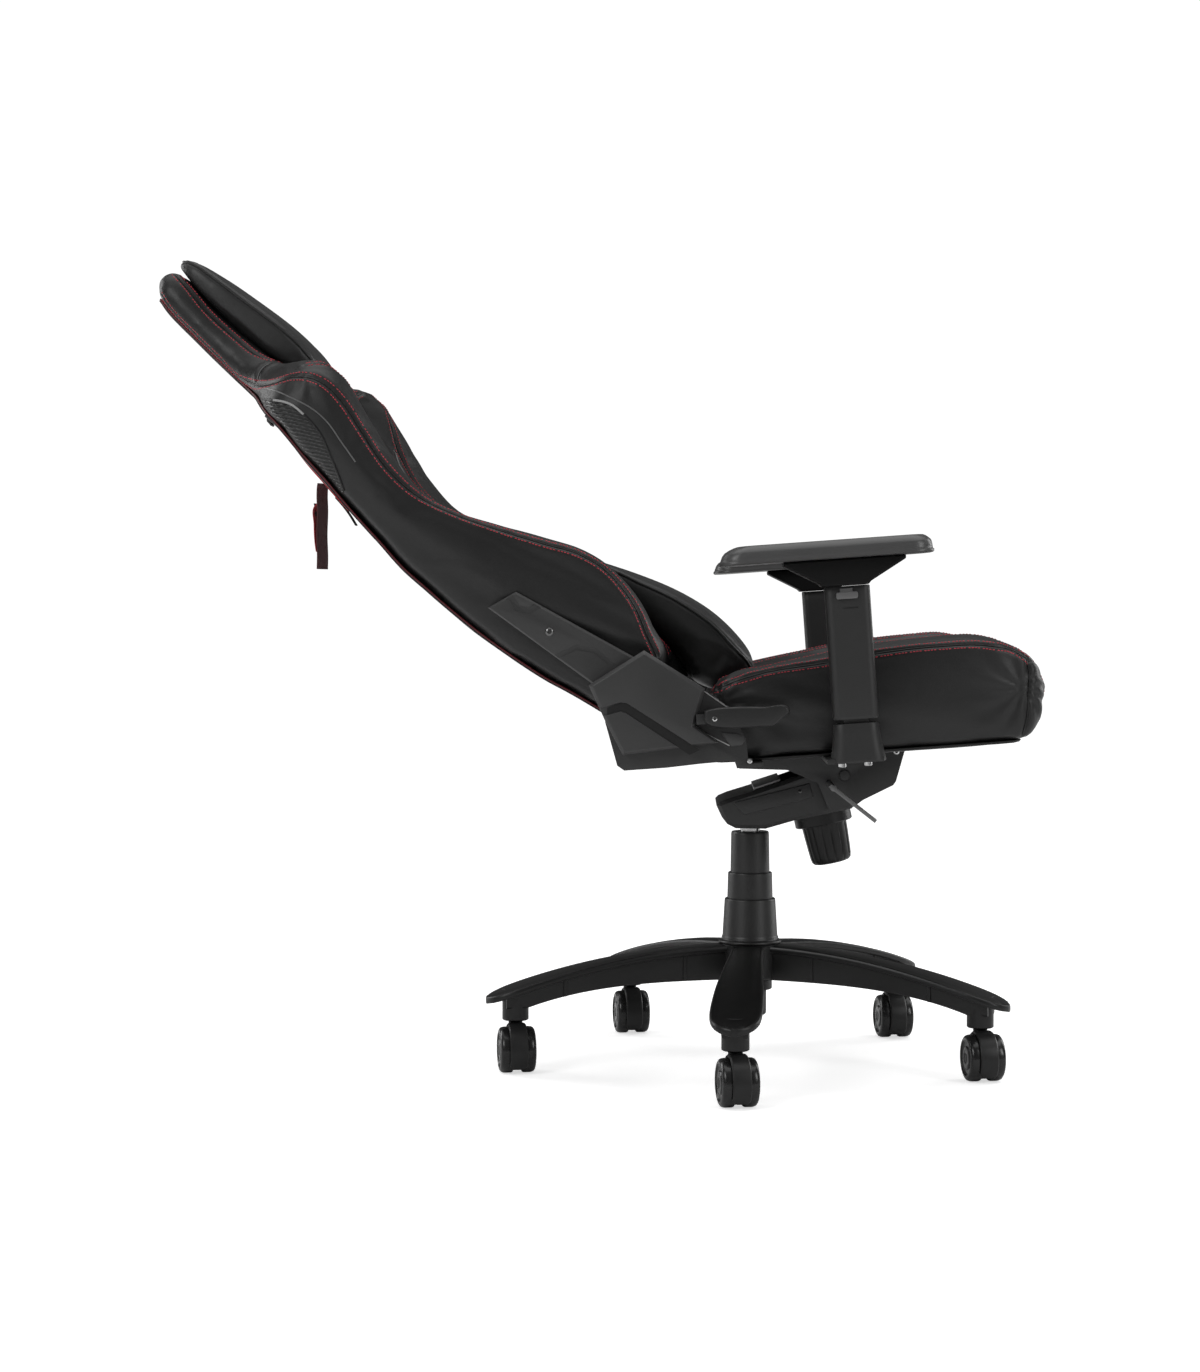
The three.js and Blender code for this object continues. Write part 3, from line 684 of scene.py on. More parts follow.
def spline(knots, values, at):
    """Smooth curve through values at rising knots, without overshoot."""
    knots = np.asarray(knots, dtype=float)
    values = np.asarray(values, dtype=float)
    steps = np.diff(knots)
    slopes = np.diff(values, axis=0) / steps[:, None]
    product = slopes[:-1] * slopes[1:]
    inner = np.where(product > 0, 2 * slopes[:-1] * slopes[1:] / (slopes[:-1] + slopes[1:] + 1e-12), 0.0)
    soft = 0.5 * (slopes[:-1] + slopes[1:])
    inner = 0.6 * inner + 0.4 * np.where(np.abs(inner) > 0, soft, 0.0)
    tangents = np.vstack([slopes[:1], inner, slopes[-1:]])
    index = np.clip(np.searchsorted(knots, at) - 1, 0, len(steps) - 1)
    span = steps[index][:, None]
    t = ((at - knots[index])[:, None]) / span
    return hermite(t, span, values[index], tangents[index], values[index + 1], tangents[index + 1])


def fine_table(table, step):
    """A station table filled in along its first column."""
    table = np.asarray(table, dtype=float)
    count = max(2, int(round((table[-1, 0] - table[0, 0]) / step)) + 1)
    at = np.linspace(table[0, 0], table[-1, 0], count)
    return np.column_stack([at, spline(table[:, 0], table[:, 1:], at)])


def dense(points, spacing):
    """Points at an even spacing along a smooth curve through the given ones."""
    points = np.asarray(points, dtype=float)
    gaps = np.linalg.norm(np.diff(points, axis=0), axis=1)
    knots = np.concatenate([[0], np.cumsum(gaps)])
    fine = curve_through(knots, points, np.linspace(0, knots[-1], max(8, int(knots[-1] / spacing * 3))))
    gaps = np.linalg.norm(np.diff(fine, axis=0), axis=1)
    length = np.concatenate([[0], np.cumsum(gaps)])
    at = np.linspace(0, length[-1], max(2, int(round(length[-1] / spacing)) + 1))
    return np.column_stack([np.interp(at, length, fine[:, k]) for k in range(fine.shape[1])])


def curve_through(knots, points, at):
    """Catmull-Rom curve over uneven knots."""
    tangents = np.gradient(points, knots, axis=0)
    index = np.clip(np.searchsorted(knots, at) - 1, 0, len(knots) - 2)
    span = (knots[index + 1] - knots[index])[:, None]
    t = ((at - knots[index])[:, None]) / span
    return hermite(t, span, points[index], tangents[index], points[index + 1], tangents[index + 1])


def closed_ring(points, per_side=4):
    """A smooth closed ring through control points, which keeps corners tight."""
    points = np.asarray(points, dtype=float)
    count = len(points)
    ring = []
    for i in range(count):
        p0, p1, p2, p3 = (points[(i + k) % count] for k in (-1, 0, 1, 2))
        span = np.linalg.norm(p2 - p1) + 1e-9
        m1 = 0.8 * span * (p2 - p0) / (np.linalg.norm(p2 - p1) + np.linalg.norm(p1 - p0) + 1e-9)
        m2 = 0.8 * span * (p3 - p1) / (np.linalg.norm(p3 - p2) + np.linalg.norm(p2 - p1) + 1e-9)
        for j in range(per_side):
            ring.append(hermite(j / per_side, 1, p1, m1, p2, m2))
    return ring


# ---- Padding ----
# Stations along the seat: x, half width, underside, side seam, bolster top, centre top.
SEAT_STATIONS = [
    (-166, 246, 46, 106, 108, 100), (-158, 256, 38, 124, 130, 115), (-94, 258, 38, 143, 148, 133),
    (-26, 258, 38, 150, 158, 140), (36, 258, 38, 156, 166, 143), (101, 256, 38, 158, 169, 146),
    (150, 253, 38, 158, 170, 147), (184, 249, 38, 156, 163, 147), (211, 243, 38, 147, 151, 143),
    (229, 236, 48, 134, 138, 134), (239, 230, 64, 122, 125, 123), (243, 222, 88, 107, 109, 108)]

# Stations along the back: z, half width, rear, side seam, bolster front, centre front.
BACK_STATIONS = [
    (-12, 226, 13, 20, 34, 51), (8, 230, 13, 22, 36, 56), (16, 234, -44, 22, 36, 57),
    (40, 250, -52, 44, 58, 59.5), (68, 256, -57, 57, 68, 60.5), (94, 258, -62, 70, 79, 61),
    (125, 259, -69, 79, 86, 62), (160, 260, -74, 82, 88, 62), (195, 260, -78, 75, 82, 57),
    (234, 260, -81, 57, 65, 45), (286, 260, -82, 34, 40, 24), (336, 261, -82, 14, 18, 4),
    (390, 262, -76, 0, 6, -8), (440, 264, -70, 2, 13, -6), (492, 267, -62, 16, 29, 6),
    (532, 269, -57, 27, 42, 15), (557, 270, -52.5, 29, 48, 19), (580, 267, -49.5, 23, 48, 20),
    (598, 256, -48.5, 12, 40, 17), (614, 232, -46.5, 2, 28, 12), (632, 196, -44.5, -10, 12, 7),
    (660, 165, -44.5, -14, 4, 3), (704, 146, -43.5, -14, 3, 3), (750, 138, -41, -12, 4, 4),
    (794, 132, -38, -6, 9, 9), (816, 125, -34, -3, 10, 10), (829, 114, -25, -4, 3, 3)]
REAR_SKIN = 3.6              # thickness of the rear panel

# Pillow stations: z, half width, rear face, front face.
HEAD_PILLOW = [(604, 96, 22, 37), (614, 112, 17, 42), (640, 122, 10, 48.5), (672, 126, 6.5, 50),
               (745, 126, 7, 44), (785, 124, 10, 40.5), (811, 118, 13, 36), (824, 107, 15, 29)]
LUMBAR_PILLOW = [(-62, 126, 76, 113), (-52, 146, 60, 121), (-30, 158, 53, 125), (10, 163, 60.5, 128),
                 (66, 165, 63, 121), (128, 163, 64.5, 101), (166, 154, 65, 88), (184, 134, 67, 79)]

STATION_STEP = 7
PRESSURE = 4.0
SWELL_FRAMES = 20


def back_rear(z):
    """The x of the back's rear at a height."""
    return float(np.interp(z, [row[0] for row in BACK_STATIONS], [row[2] for row in BACK_STATIONS]))


def both_halves(side):
    """A half outline that starts on one side, and its mirror image."""
    return side + [(-across, out) for across, out in reversed(side)]


def seat_ring(row):
    x, half, low, seam, high, middle = row
    side = [(half - 14, low), (half - 2, low + 5), (half + 1, (low + seam) * 0.5), (half, seam - 4),
            (half - 6, seam + (high - seam) * 0.35), (half - 34, high), (half - 62, high - 1),
            (half - 90, middle + 2), (half - 112, middle), (60, middle + 1)]
    return [(x, y, z) for y, z in closed_ring(both_halves(side))]


def back_ring(row):
    z, half, rear, seam, front, middle = row
    rear += REAR_SKIN
    inset = min(94, half * 0.42)
    depth = seam - rear
    side = [(half - 30, rear), (half - 7, rear + min(6, depth * 0.18)), (half, rear + min(22, depth * 0.5)),
            (half, seam - min(5, depth * 0.2)), (half - 6, seam + (front - seam) * 0.45),
            (half - 0.32 * inset, front), (half - 0.7 * inset, front - 2), (half - inset, middle + 1),
            (half * 0.52, middle), (half * 0.2, middle + 1)]
    return [(x, y, z) for y, x in closed_ring(both_halves(side))]


def pillow_ring(row):
    z, half, low, high = row
    middle = (low + high) / 2
    thick = high - low
    side = [(low, half * 0.5), (low + 0.01 * thick, half * 0.92), (low + 0.1 * thick, half * 0.985),
            (middle, half), (high - 0.16 * thick, half * 0.99), (high - 0.03 * thick, half * 0.86),
            (high, half * 0.5), (high + 0.04 * thick, 0)]
    other = [(x, -y) for x, y in reversed(side[:-1])]
    return [(x, y, z) for x, y in closed_ring(side + other)]


def rounded_ends(rings, axis, reach=3.0):
    """Adds shrinking rings at both ends, so that a loft closes in a roll and not in a flat cut."""
    def shrunk(ring, shift, scale):
        centre = np.mean(ring, axis=0)
        out = []
        for point in ring:
            moved = centre + (np.asarray(point) - centre) * scale
            moved[axis] = point[axis] + shift
            out.append(tuple(moved))
        return out
    first = [shrunk(rings[0], -reach, 0.86), shrunk(rings[0], -reach * 0.8, 0.95)]
    last = [shrunk(rings[-1], reach * 0.8, 0.95), shrunk(rings[-1], reach, 0.86)]
    return first + rings + last


def padding(name, table, ring, place, voxel, axis, smooth=5):
    rows = fine_table(table, STATION_STEP)
    made = loft(name, rounded_ends([ring(row) for row in rows], axis), place)
    apply_modifier(made, "REMESH", mode="VOXEL", voxel_size=voxel * MM, use_smooth_shade=True)
    apply_modifier(made, "SMOOTH", factor=0.5, iterations=smooth)
    return made


def surface(obj):
    return BVHTree.FromObject(obj, evaluated())


def follow(tree, place, guesses, toward=None, spacing=2.0):
    """Points and normals on a surface under a smooth path of guesses, given in a millimetre frame."""
    turn = place.to_3x3().normalized()
    points = []
    outward = []
    for guess in dense(guesses, spacing):
        here = place @ Vector(guess)
        if toward is None:
            hit, normal, _, _ = tree.find_nearest(here)
        else:
            line = (turn @ Vector(toward)).normalized()
            hit, normal, _, _ = tree.ray_cast(here, line, 2.0)
        if hit is not None:
            points.append(hit)
            outward.append(normal)
    points = np.array(points)
    outward = np.array(outward)
    for _ in range(3):
        points[1:-1] = 0.25 * points[:-2] + 0.5 * points[1:-1] + 0.25 * points[2:]
    for _ in range(8):
        outward[1:-1] = 0.25 * outward[:-2] + 0.5 * outward[1:-1] + 0.25 * outward[2:]
    outward /= np.linalg.norm(outward, axis=1)[:, None]
    return points, outward


def from_side(path, side):
    """Guess points for a seam seen from the chair's side: (x, z) pairs, drawn on side -1 or +1."""
    return [(x, side * OUTSIDE, z) for x, z in path], (0, -side, 0)


def from_front(path, side=1):
    """Guess points for a seam seen from before the back: (y, z) pairs, mirrored on side -1."""
    return [(IN_FRONT, side * y, z) for y, z in path], (-1, 0, 0)


def from_rear(path, side=1):
    return [(-IN_FRONT, side * y, z) for y, z in path], (1, 0, 0)


def across_seat(x, width):
    """Guess points for a seam straight across the seat, seen from above."""
    return [(x, width * part / 2, ABOVE) for part in range(-2, 3)], (0, 0, -1)


def mirrored(path, side):
    return [(x, side * y, z) for x, y, z in path]


def follow_all(piece, place, asked):
    tree = surface(piece)
    return [follow(tree, place, guesses, toward) for guesses, toward in asked]


def distances(points, paths):
    """Distance in metres from each point to the nearest seam, and which seam point that is."""
    marks = np.vstack([path for path, _ in paths])
    tree = KDTree(len(marks))
    for i, mark in enumerate(marks):
        tree.insert(mark, i)
    tree.balance()
    return np.array([tree.find(point)[2] for point in points])


def swell(obj, paths, cap):
    """Cloth under pressure, held along the seams. Cap is the most that a point may move, in millimetres."""
    before = coordinates(obj)
    held = distances(before, paths)
    group = obj.vertex_groups.new(name="seams")
    for reach, weight in ((0.009, 0.5), (0.0045, 1.0)):
        group.add([int(i) for i in np.nonzero(held < reach)[0]], weight, "REPLACE")
    modifier = obj.modifiers.new("swell", "CLOTH")
    cloth = modifier.settings
    cloth.quality = 4
    cloth.mass = 0.4
    cloth.tension_stiffness = 18
    cloth.compression_stiffness = 18
    cloth.shear_stiffness = 8
    cloth.bending_stiffness = 0.8
    cloth.use_pressure = True
    cloth.uniform_pressure_force = PRESSURE
    cloth.vertex_group_mass = "seams"
    cloth.effector_weights.gravity = 0
    modifier.collision_settings.use_collision = False
    modifier.collision_settings.use_self_collision = False
    modifier.point_cache.frame_start = 1
    modifier.point_cache.frame_end = SWELL_FRAMES
    scene = bpy.context.scene
    for step in range(1, SWELL_FRAMES + 1):
        scene.frame_set(step)
    graph = bpy.context.evaluated_depsgraph_get()
    after = coordinates(obj.evaluated_get(graph))
    obj.modifiers.clear()
    obj.vertex_groups.clear()
    scene.frame_set(1)
    move = after - before
    length = np.linalg.norm(move, axis=1)
    limit = cap * MM
    eased = limit * np.tanh(length / limit)
    move *= (eased / np.maximum(length, 1e-9))[:, None]
    set_coordinates(obj, before + move)


def press_seams(obj, paths, depth=1.5, width=2.0, roll=0.9):
    """Sinks a narrow groove along each seam and rolls the leather up beside it. Millimetres."""
    near = distances(coordinates(obj), paths)
    work = bmesh.new()
    work.from_mesh(obj.data)
    work.verts.ensure_lookup_table()
    reach = 7 * MM
    edges = [edge for edge in work.edges if all(near[vertex.index] < reach for vertex in edge.verts)]
    bmesh.ops.subdivide_edges(work, edges=edges, cuts=1, use_grid_fill=True, smooth=0.0)
    work.to_mesh(obj.data)
    work.free()
    near = distances(coordinates(obj), paths) / MM
    push_out(obj, -depth * np.exp(-(near / width) ** 2) + roll * np.exp(-((near - 6.5) / 4.0) ** 2))


def wrinkle(obj, place, centres, seed):
    """Soft creases fanning out from stressed points. Each centre: x, y, z, reach, depth, count."""
    draw = random.Random(seed)
    points = coordinates(obj)
    inverse = np.array(place.inverted())
    local = points @ inverse[:3, :3].T + inverse[:3, 3]
    shift = np.zeros(len(points))
    for x, y, z, reach, depth, count in centres:
        offset = local - np.array((x, y, z))
        distance = np.linalg.norm(offset, axis=1)
        turn = np.arctan2(offset[:, 2], offset[:, 0]) + 0.012 * offset[:, 1]
        wave = np.sin(turn * count + draw.uniform(0, 6) + distance * 0.035)
        shift += depth * wave * np.exp(-(distance / reach) ** 2) * np.clip(distance / (0.35 * reach), 0, 1)
    push_out(obj, shift)


# ---- Stitching and piping ----
STITCH_LENGTH = 3.1
STITCH_PITCH = 4.5
STITCH_RADIUS = 0.55
STITCH_OFFSET = 5.6
STITCH_SIDES = 6
# Stations of one thread loop: place along it, thickness and lift, as parts of its length and radius.
STITCH_PROFILE = [(-0.5, 0.35, -0.7), (-0.36, 1.0, 0.1), (0.0, 1.05, 0.35), (0.36, 1.0, 0.1),
                  (0.5, 0.35, -0.7)]


def double_rows(seams, offset):
    """A row of stitches on either side of each seam."""
    return [(seam, shift) for seam in seams for shift in (-offset, offset)]


def stitches(name, rows, place_tree):
    """One mesh of small thread loops. Each row: seam path, sideways offset in millimetres."""
    sides = STITCH_SIDES
    points = []
    faces = []
    for (path, outward), offset in rows:
        lengths = np.concatenate([[0], np.cumsum(np.linalg.norm(np.diff(path, axis=0), axis=1))])
        count = int(lengths[-1] / (STITCH_PITCH * MM))
        for k in range(count):
            at = (k + 0.5) * STITCH_PITCH * MM
            i = min(int(np.searchsorted(lengths, at)), len(path) - 2)
            i = max(i, 1)
            along = Vector(path[i + 1] - path[i - 1]).normalized()
            up = Vector(outward[i])
            across = along.cross(up).normalized()
            here = Vector(path[i]) + across * offset * MM
            hit, normal, _, distance = place_tree.find_nearest(here)
            if hit is None or distance > 6 * MM:
                continue
            up = normal
            across = along.cross(up).normalized()
            along = up.cross(across).normalized()
            start = len(points)
            for step, swell_by, lift in STITCH_PROFILE:
                centre = hit + along * step * STITCH_LENGTH * MM + up * lift * STITCH_RADIUS * MM
                for j in range(sides):
                    turn = 2 * math.pi * j / sides
                    spoke = across * math.cos(turn) + up * math.sin(turn)
                    points.append(centre + spoke * STITCH_RADIUS * swell_by * MM)
            last = len(STITCH_PROFILE) - 1
            for ring in range(last):
                for j in range(sides):
                    a, b = start + ring * sides + j, start + ring * sides + (j + 1) % sides
                    faces.append((a, b, b + sides, a + sides))
            faces.append(tuple(start + j for j in reversed(range(sides))))
            faces.append(tuple(start + last * sides + j for j in range(sides)))
    return add(name, points, faces)


def piping(name, path, radius, proud=0.35, closed=False):
    """A round cord sewn into a seam. Radius in millimetres; proud is the part of it above the surface."""
    points, outward = path
    raised = points + outward * radius * MM * (2 * proud - 1)
    return tube(name, raised, radius * MM, sides=8, closed=closed, ups=outward)


def cords(name, seams, radius, proud, body, look):
    """One piece of piping along several seams."""
    made = join_objects(name, [piping("cord", seam, radius, proud=proud) for seam in seams])
    hand_over(made, body, look, "leatherette")


def side_cord(name, tree, place, path, side, radius, proud, body, look):
    """Piping along a path of (x, z) points on one side of the chair."""
    made = piping(name, follow(tree, place, *from_side(path, side)), radius, proud=proud)
    hand_over(made, body, look, "leatherette")


# ---- The seat's padding ----
SEAT_SIDE_SEAM = [(-163, 122), (-140, 132), (-108, 140), (-20, 149), (33, 155), (112, 159), (174, 156),
                  (207, 147), (226, 133)]
SEAT_NOSE_SEAM = [(222, 138), (224, 120), (221, 90), (217, 62), (211, 44)]
SEAT_REAR_EDGE = [(-164, 121), (-150, 107), (-133, 96)]
SEAT_BOLSTER_SEAM = [(-155, 197, 118), (-100, 199, 150), (-20, 200, 161), (60, 200, 168), (130, 198, 171),
                     (184, 193, 164), (212, 189, 152), (233, 186, 136), (243, 184, 112), (242, 183, 80)]
SEAT_CHANNEL_SEAM = [(-155, 158, 108), (-94, 161, 134), (-26, 163, 141), (60, 163, 145), (150, 158, 148),
                     (190, 154, 148), (212, 150, 142)]
NOSE_SEAMS = (1, 5)          # places of the nose seams among the seat's seams: they have no thread


def seat_seams(side):
    """Side seam, nose seam and bolster seams of one side of the seat. Each: guesses, direction."""
    return [from_side(SEAT_SIDE_SEAM, side), from_side(SEAT_NOSE_SEAM, side),
            (mirrored(SEAT_BOLSTER_SEAM, side), None), (mirrored(SEAT_CHANNEL_SEAM, side), None)]


def make_seat():
    cushion = padding("seat_padding", SEAT_STATIONS, seat_ring, SEAT, 6.0, 0, smooth=6)
    asked = seat_seams(-1) + seat_seams(1) + [across_seat(212, 150), across_seat(-96, 160)]
    swell(cushion, follow_all(cushion, SEAT, asked), cap=6)
    apply_modifier(cushion, "SUBSURF", levels=1, render_levels=1)
    wrinkle(cushion, SEAT, [(-150, -230, 110, 120, 1.4, 9), (-150, 230, 110, 120, 1.4, 9),
                            (215, -225, 100, 70, 0.9, 11), (215, 225, 100, 70, 0.9, 11)], SEED)
    seams = follow_all(cushion, SEAT, asked)
    press_seams(cushion, seams)
    hand_over(cushion, "seat", "leather", "leatherette", "seat_cushion", angle=180)
    tree = surface(cushion)
    sewn = [seam for index, seam in enumerate(seams) if index not in NOSE_SEAMS]
    thread = stitches("seat_stitches", double_rows(sewn, STITCH_OFFSET), tree)
    hand_over(thread, "seat", "thread", "red_webbing")
    cords("seat_seam_cords", seams, 0.9, 0.1, "seat", "leather")
    for side, label in SIDES:
        side_cord("seat_light_edge_" + label, tree, SEAT, SEAT_REAR_EDGE, side, 0.9, 0.5, "seat", "silver")


# ---- The back's padding ----
def back_side_seam():
    """Seam between side panel and front: up the side, over the shoulder, along the head's rear edge."""
    side = [(row[3], row[0]) for row in BACK_STATIONS if 40 <= row[0] <= 580]
    shoulder = [(10, 597), (-8, 611), (-22, 626), (-31, 640)]
    head = [(-37, 660), (-36, 704), (-33.5, 750), (-30, 794), (-25, 815)]
    return side + shoulder + head


HEAD_FRONT_SEAM = [(6, 820), (4, 798), (-3, 754), (-4, 704), (-2, 668), (3, 652), (10, 638), (22, 624),
                   (32, 613), (40, 602)]
HEAD_CROSS_SEAM = [(0, 645), (-9, 647), (-17, 645), (-24, 640)]
INSERT_FRONT = [(-36, 614), (-27, 596), (-20, 584), (-16, 572), (-15.5, 555), (-17, 538), (-21, 521),
                (-30, 503), (-40, 484), (-54, 460)]
OUTER_PIPING = [(-24, 620), (-18, 606), (-11, 582), (-5, 560), (-3, 543), (-4, 526), (-10, 502), (-18, 470)]

# Seams of the back's front, as (y, z) pairs.
BOLSTER_SEAM = [(246, 596), (236, 578), (214, 548), (192, 510), (176, 460), (168, 400), (166, 300),
                (166, 200), (166, 120), (164, 60), (160, 30)]
SHOULDER_SEAM = [(-196, 586), (-130, 600), (0, 606), (130, 600), (196, 586)]
WAIST_SEAM = [(-160, 214), (-80, 206), (0, 203), (80, 206), (160, 214)]
CHEVRON_SEAMS = [[(2, 310), (60, 335), (120, 376), (160, 440)], [(2, 372), (60, 396), (120, 432), (178, 494)]]
THREADED_SEAMS = (0, 1, 2, 4, 5, 6, 8, 9)    # places of the seams with thread among the back's seams
DARK_CORDS = 10              # so many of the first seams have a black cord, the rest a grey one


def back_seams(side):
    return [from_side(back_side_seam(), side), from_side(HEAD_FRONT_SEAM, side),
            from_front(BOLSTER_SEAM, side), from_side(HEAD_CROSS_SEAM, side)]


def make_back():
    cushion = padding("back_padding", BACK_STATIONS, back_ring, BACK, 6.0, 2, smooth=5)
    asked = back_seams(-1) + back_seams(1) + [from_front(SHOULDER_SEAM), from_front(WAIST_SEAM)]
    asked += [from_front(line, side) for side in (-1, 1) for line in CHEVRON_SEAMS]
    swell(cushion, follow_all(cushion, BACK, asked), cap=6)
    apply_modifier(cushion, "SUBSURF", levels=1, render_levels=1)
    wrinkle(cushion, BACK, [(-20, -262, 480, 110, 0.4, 8), (-20, 262, 480, 110, 0.4, 8),
                            (0, -262, 250, 130, 0.25, 7), (0, 262, 250, 130, 0.25, 7),
                            (30, -255, 590, 60, 0.5, 9), (30, 255, 590, 60, 0.5, 9)], SEED + 1)
    seams = follow_all(cushion, BACK, asked)
    press_seams(cushion, seams)
    hand_over(cushion, "back", "leather", "leatherette", "back_cushion", "back_frame", angle=180)
    tree = surface(cushion)
    rows = double_rows([seams[index] for index in THREADED_SEAMS], STITCH_OFFSET)
    hand_over(stitches("back_stitches", rows, tree), "back", "thread", "red_webbing")
    cords("back_seam_cords", seams[:DARK_CORDS], 0.9, 0.1, "back", "leather")
    cords("back_light_cords", seams[DARK_CORDS:], 1.2, 0.6, "back", "silver")
    for side, label in SIDES:
        side_trim(tree, side, label)


def side_trim(tree, side, label):
    """Ribbed insert, a pale cord on part of its edge as painted highlight, and the outer piping on one side
    of the back.
    """
    hand_over(ribbed_insert(tree, side, label), "back", "carbon", "leatherette", angle=70)
    for name, path, radius, proud, look in (
            ("insert_edge_", INSERT_FRONT, 1.3, 0.75, "leather"),
            # A pale cord on the curve of the insert's edge: a painted highlight.
            ("insert_painted_highlight_", INSERT_FRONT[1:5], 1.4, 0.95, "painted_highlight"),
            ("outer_edge_", OUTER_PIPING, 0.9, 0.7, "silver"),
            ("head_light_seam_", HEAD_CROSS_SEAM, 0.8, 0.8, "silver")):
        side_cord(name + label, tree, BACK, path, side, radius, proud, "back", look)


RIB_PITCH = 5.4
RIB_HEIGHT = 0.9
INSERT_LIFT = 0.7
INSERT_COLUMNS = 44


def ribbed_insert(tree, side, label):
    """A thin moulded skin with raised slanting ribs, laid on the back's side."""
    front = dense([(x, 0, z) for x, z in INSERT_FRONT], 0.8)
    line = BACK.to_3x3().normalized() @ Vector((0, -side, 0))
    across = INSERT_COLUMNS
    points = []
    for x, _, z in front:
        rear = back_rear(z) + 8
        for k in range(across + 1):
            w = x + (rear - x) * k / across
            hit, normal, _, _ = tree.ray_cast(BACK @ Vector((w, side * OUTSIDE, z)), line, 2.0)
            edge = min(k, across - k) / 3
            rib = 0.5 + 0.5 * math.cos(2 * math.pi * (z * 0.86 + w * 0.52) / RIB_PITCH)
            lift = INSERT_LIFT + RIB_HEIGHT * rib ** 1.5 * min(1, edge)
            if k in (0, across):
                lift = -0.6
            if hit is None:
                hit, normal = BACK @ Vector((w, side * 250, z)), -line
            points.append(hit + (0.4 * normal - 0.6 * line).normalized() * lift * MM)
    made = add("ribbed_insert_" + label, points, grid_faces(len(front), across + 1))
    apply_modifier(made, "SOLIDIFY", thickness=0.9 * MM, offset=-1.0)
    return made


# ---- Rear panel and pillows ----
REAR_SIDE_SEAM = [(150, 40), (128, 130), (116, 260), (124, 390), (150, 500), (196, 575)]
REAR_NECK_SEAM = [(-150, 628), (-70, 612), (0, 608), (70, 612), (150, 628)]
REAR_COLUMNS = 40
REAR_CROWN = 2.4
REAR_STITCH_OFFSET = 4.6


def make_rear_panel():
    """A lightly padded panel that closes the rear, with a red cord round its edge."""
    rows = fine_table(BACK_STATIONS[:-1], 6)
    points = []
    for z, half, rear in rows[:, :3]:
        edge = half - 27
        for k in range(REAR_COLUMNS + 1):
            y = -edge + 2 * edge * k / REAR_COLUMNS
            rim = 1 - abs(2 * k / REAR_COLUMNS - 1) ** 8
            end = min(1, (z - rows[0, 0]) / 14, (rows[-1, 0] - z) / 14)
            crown = REAR_CROWN * rim * math.sqrt(max(0, end))
            points.append((rear + REAR_SKIN - 1.2 - crown, y, z))
    panel = add("rear_panel", points, grid_faces(len(rows), REAR_COLUMNS + 1), BACK)
    asked = [from_rear(REAR_SIDE_SEAM, side) for side in (-1, 1)] + [from_rear(REAR_NECK_SEAM)]
    seams = follow_all(panel, BACK, asked)
    press_seams(panel, seams, depth=0.9, width=2.2, roll=0.6)
    apply_modifier(panel, "SOLIDIFY", thickness=2.2 * MM, offset=-1.0)
    hand_over(panel, "back", "panel", "back_panel", "back_rear_cover", angle=60)
    thread = stitches("rear_stitches", double_rows(seams, REAR_STITCH_OFFSET), surface(panel))
    hand_over(thread, "back", "thread", "red_webbing")
    edge = [(rear + REAR_SKIN - 0.6, half - 25.5, z) for z, half, rear in rows[:, :3]]
    loop = [BACK @ Vector(point) for point in mirrored(edge, -1) + edge[::-1]]
    cord = tube("rear_edge_cord", loop, 1.1 * MM, sides=10, closed=True)
    hand_over(cord, "back", "dark_piping", "red_webbing")


PILLOW_SEAM = 0.86           # where the side seam runs, as a part of the thickness from the rear


def make_pillow(name, table, node, body, look, cap):
    """A pillow with a piped seam all round it."""
    pillow = padding(name, table, pillow_ring, BACK, 5.0, 2, smooth=6)
    rim = [(low + PILLOW_SEAM * (high - low), half, z) for z, half, low, high in table]
    (low_x, low_y, low_z), (top_x, top_y, top_z) = rim[0], rim[-1]
    loop = rim + [(top_x, side * 0.45 * top_y, top_z + 4) for side in (1, -1)]
    loop += mirrored(rim, -1)[::-1]
    loop += [(low_x, side * 0.45 * low_y, low_z - 4) for side in (-1, 1)]
    loop.append(rim[0])
    swell(pillow, [follow(surface(pillow), BACK, loop)], cap=cap)
    apply_modifier(pillow, "SUBSURF", levels=1, render_levels=1)
    path, outward = follow(surface(pillow), BACK, loop)
    press_seams(pillow, [(path, outward)], depth=0.8, width=2.4, roll=0.4)
    hand_over(pillow, body, look, "leatherette", node, angle=180)
    cord = piping(name + "_cord", (path[:-1], outward[:-1]), 1.9, proud=0.55, closed=True)
    hand_over(cord, body, look, "leatherette")


# ---- Straps ----
def webbing(name, route, low, high, thick, place, rows=9):
    """A flat strap along (x, z) points in a millimetre frame, between two y values, with rolled edges."""
    path = dense([(x, 0, z) for x, z in route], 2.0)
    rings = []
    for i, (x, _, z) in enumerate(path):
        before, after = path[max(i - 1, 0)], path[min(i + 1, len(path) - 1)]
        along = Vector((after[0] - before[0], 0, after[2] - before[2])).normalized()
        out = Vector((-along.z, 0, along.x))
        ring = []
        there = [(k, 1) for k in range(rows)]
        for k, face in there + [(k, -1) for k, _ in reversed(there)]:
            part = k / (rows - 1)
            lift = face * thick * 0.5 * (1 - abs(2 * part - 1) ** 6 * 0.55)
            ring.append((x + out.x * lift, low + (high - low) * part, z + out.z * lift))
        rings.append(ring)
    return loft(name, rings, place)


# How far the strap hangs off the back's rear: height and distance. The tip's third value is the height at
# which the rear is read.
STRAP_SLACK = [(452, 5.5), (470, 6.5), (500, 6.8), (530, 6.5), (560, 5), (575, 3.2), (581, 2.4)]
TIP_SLACK = [(476, 7.6, 470), (462, 8.2, 462), (448, 9.6, 450), (434, 12, 436)]


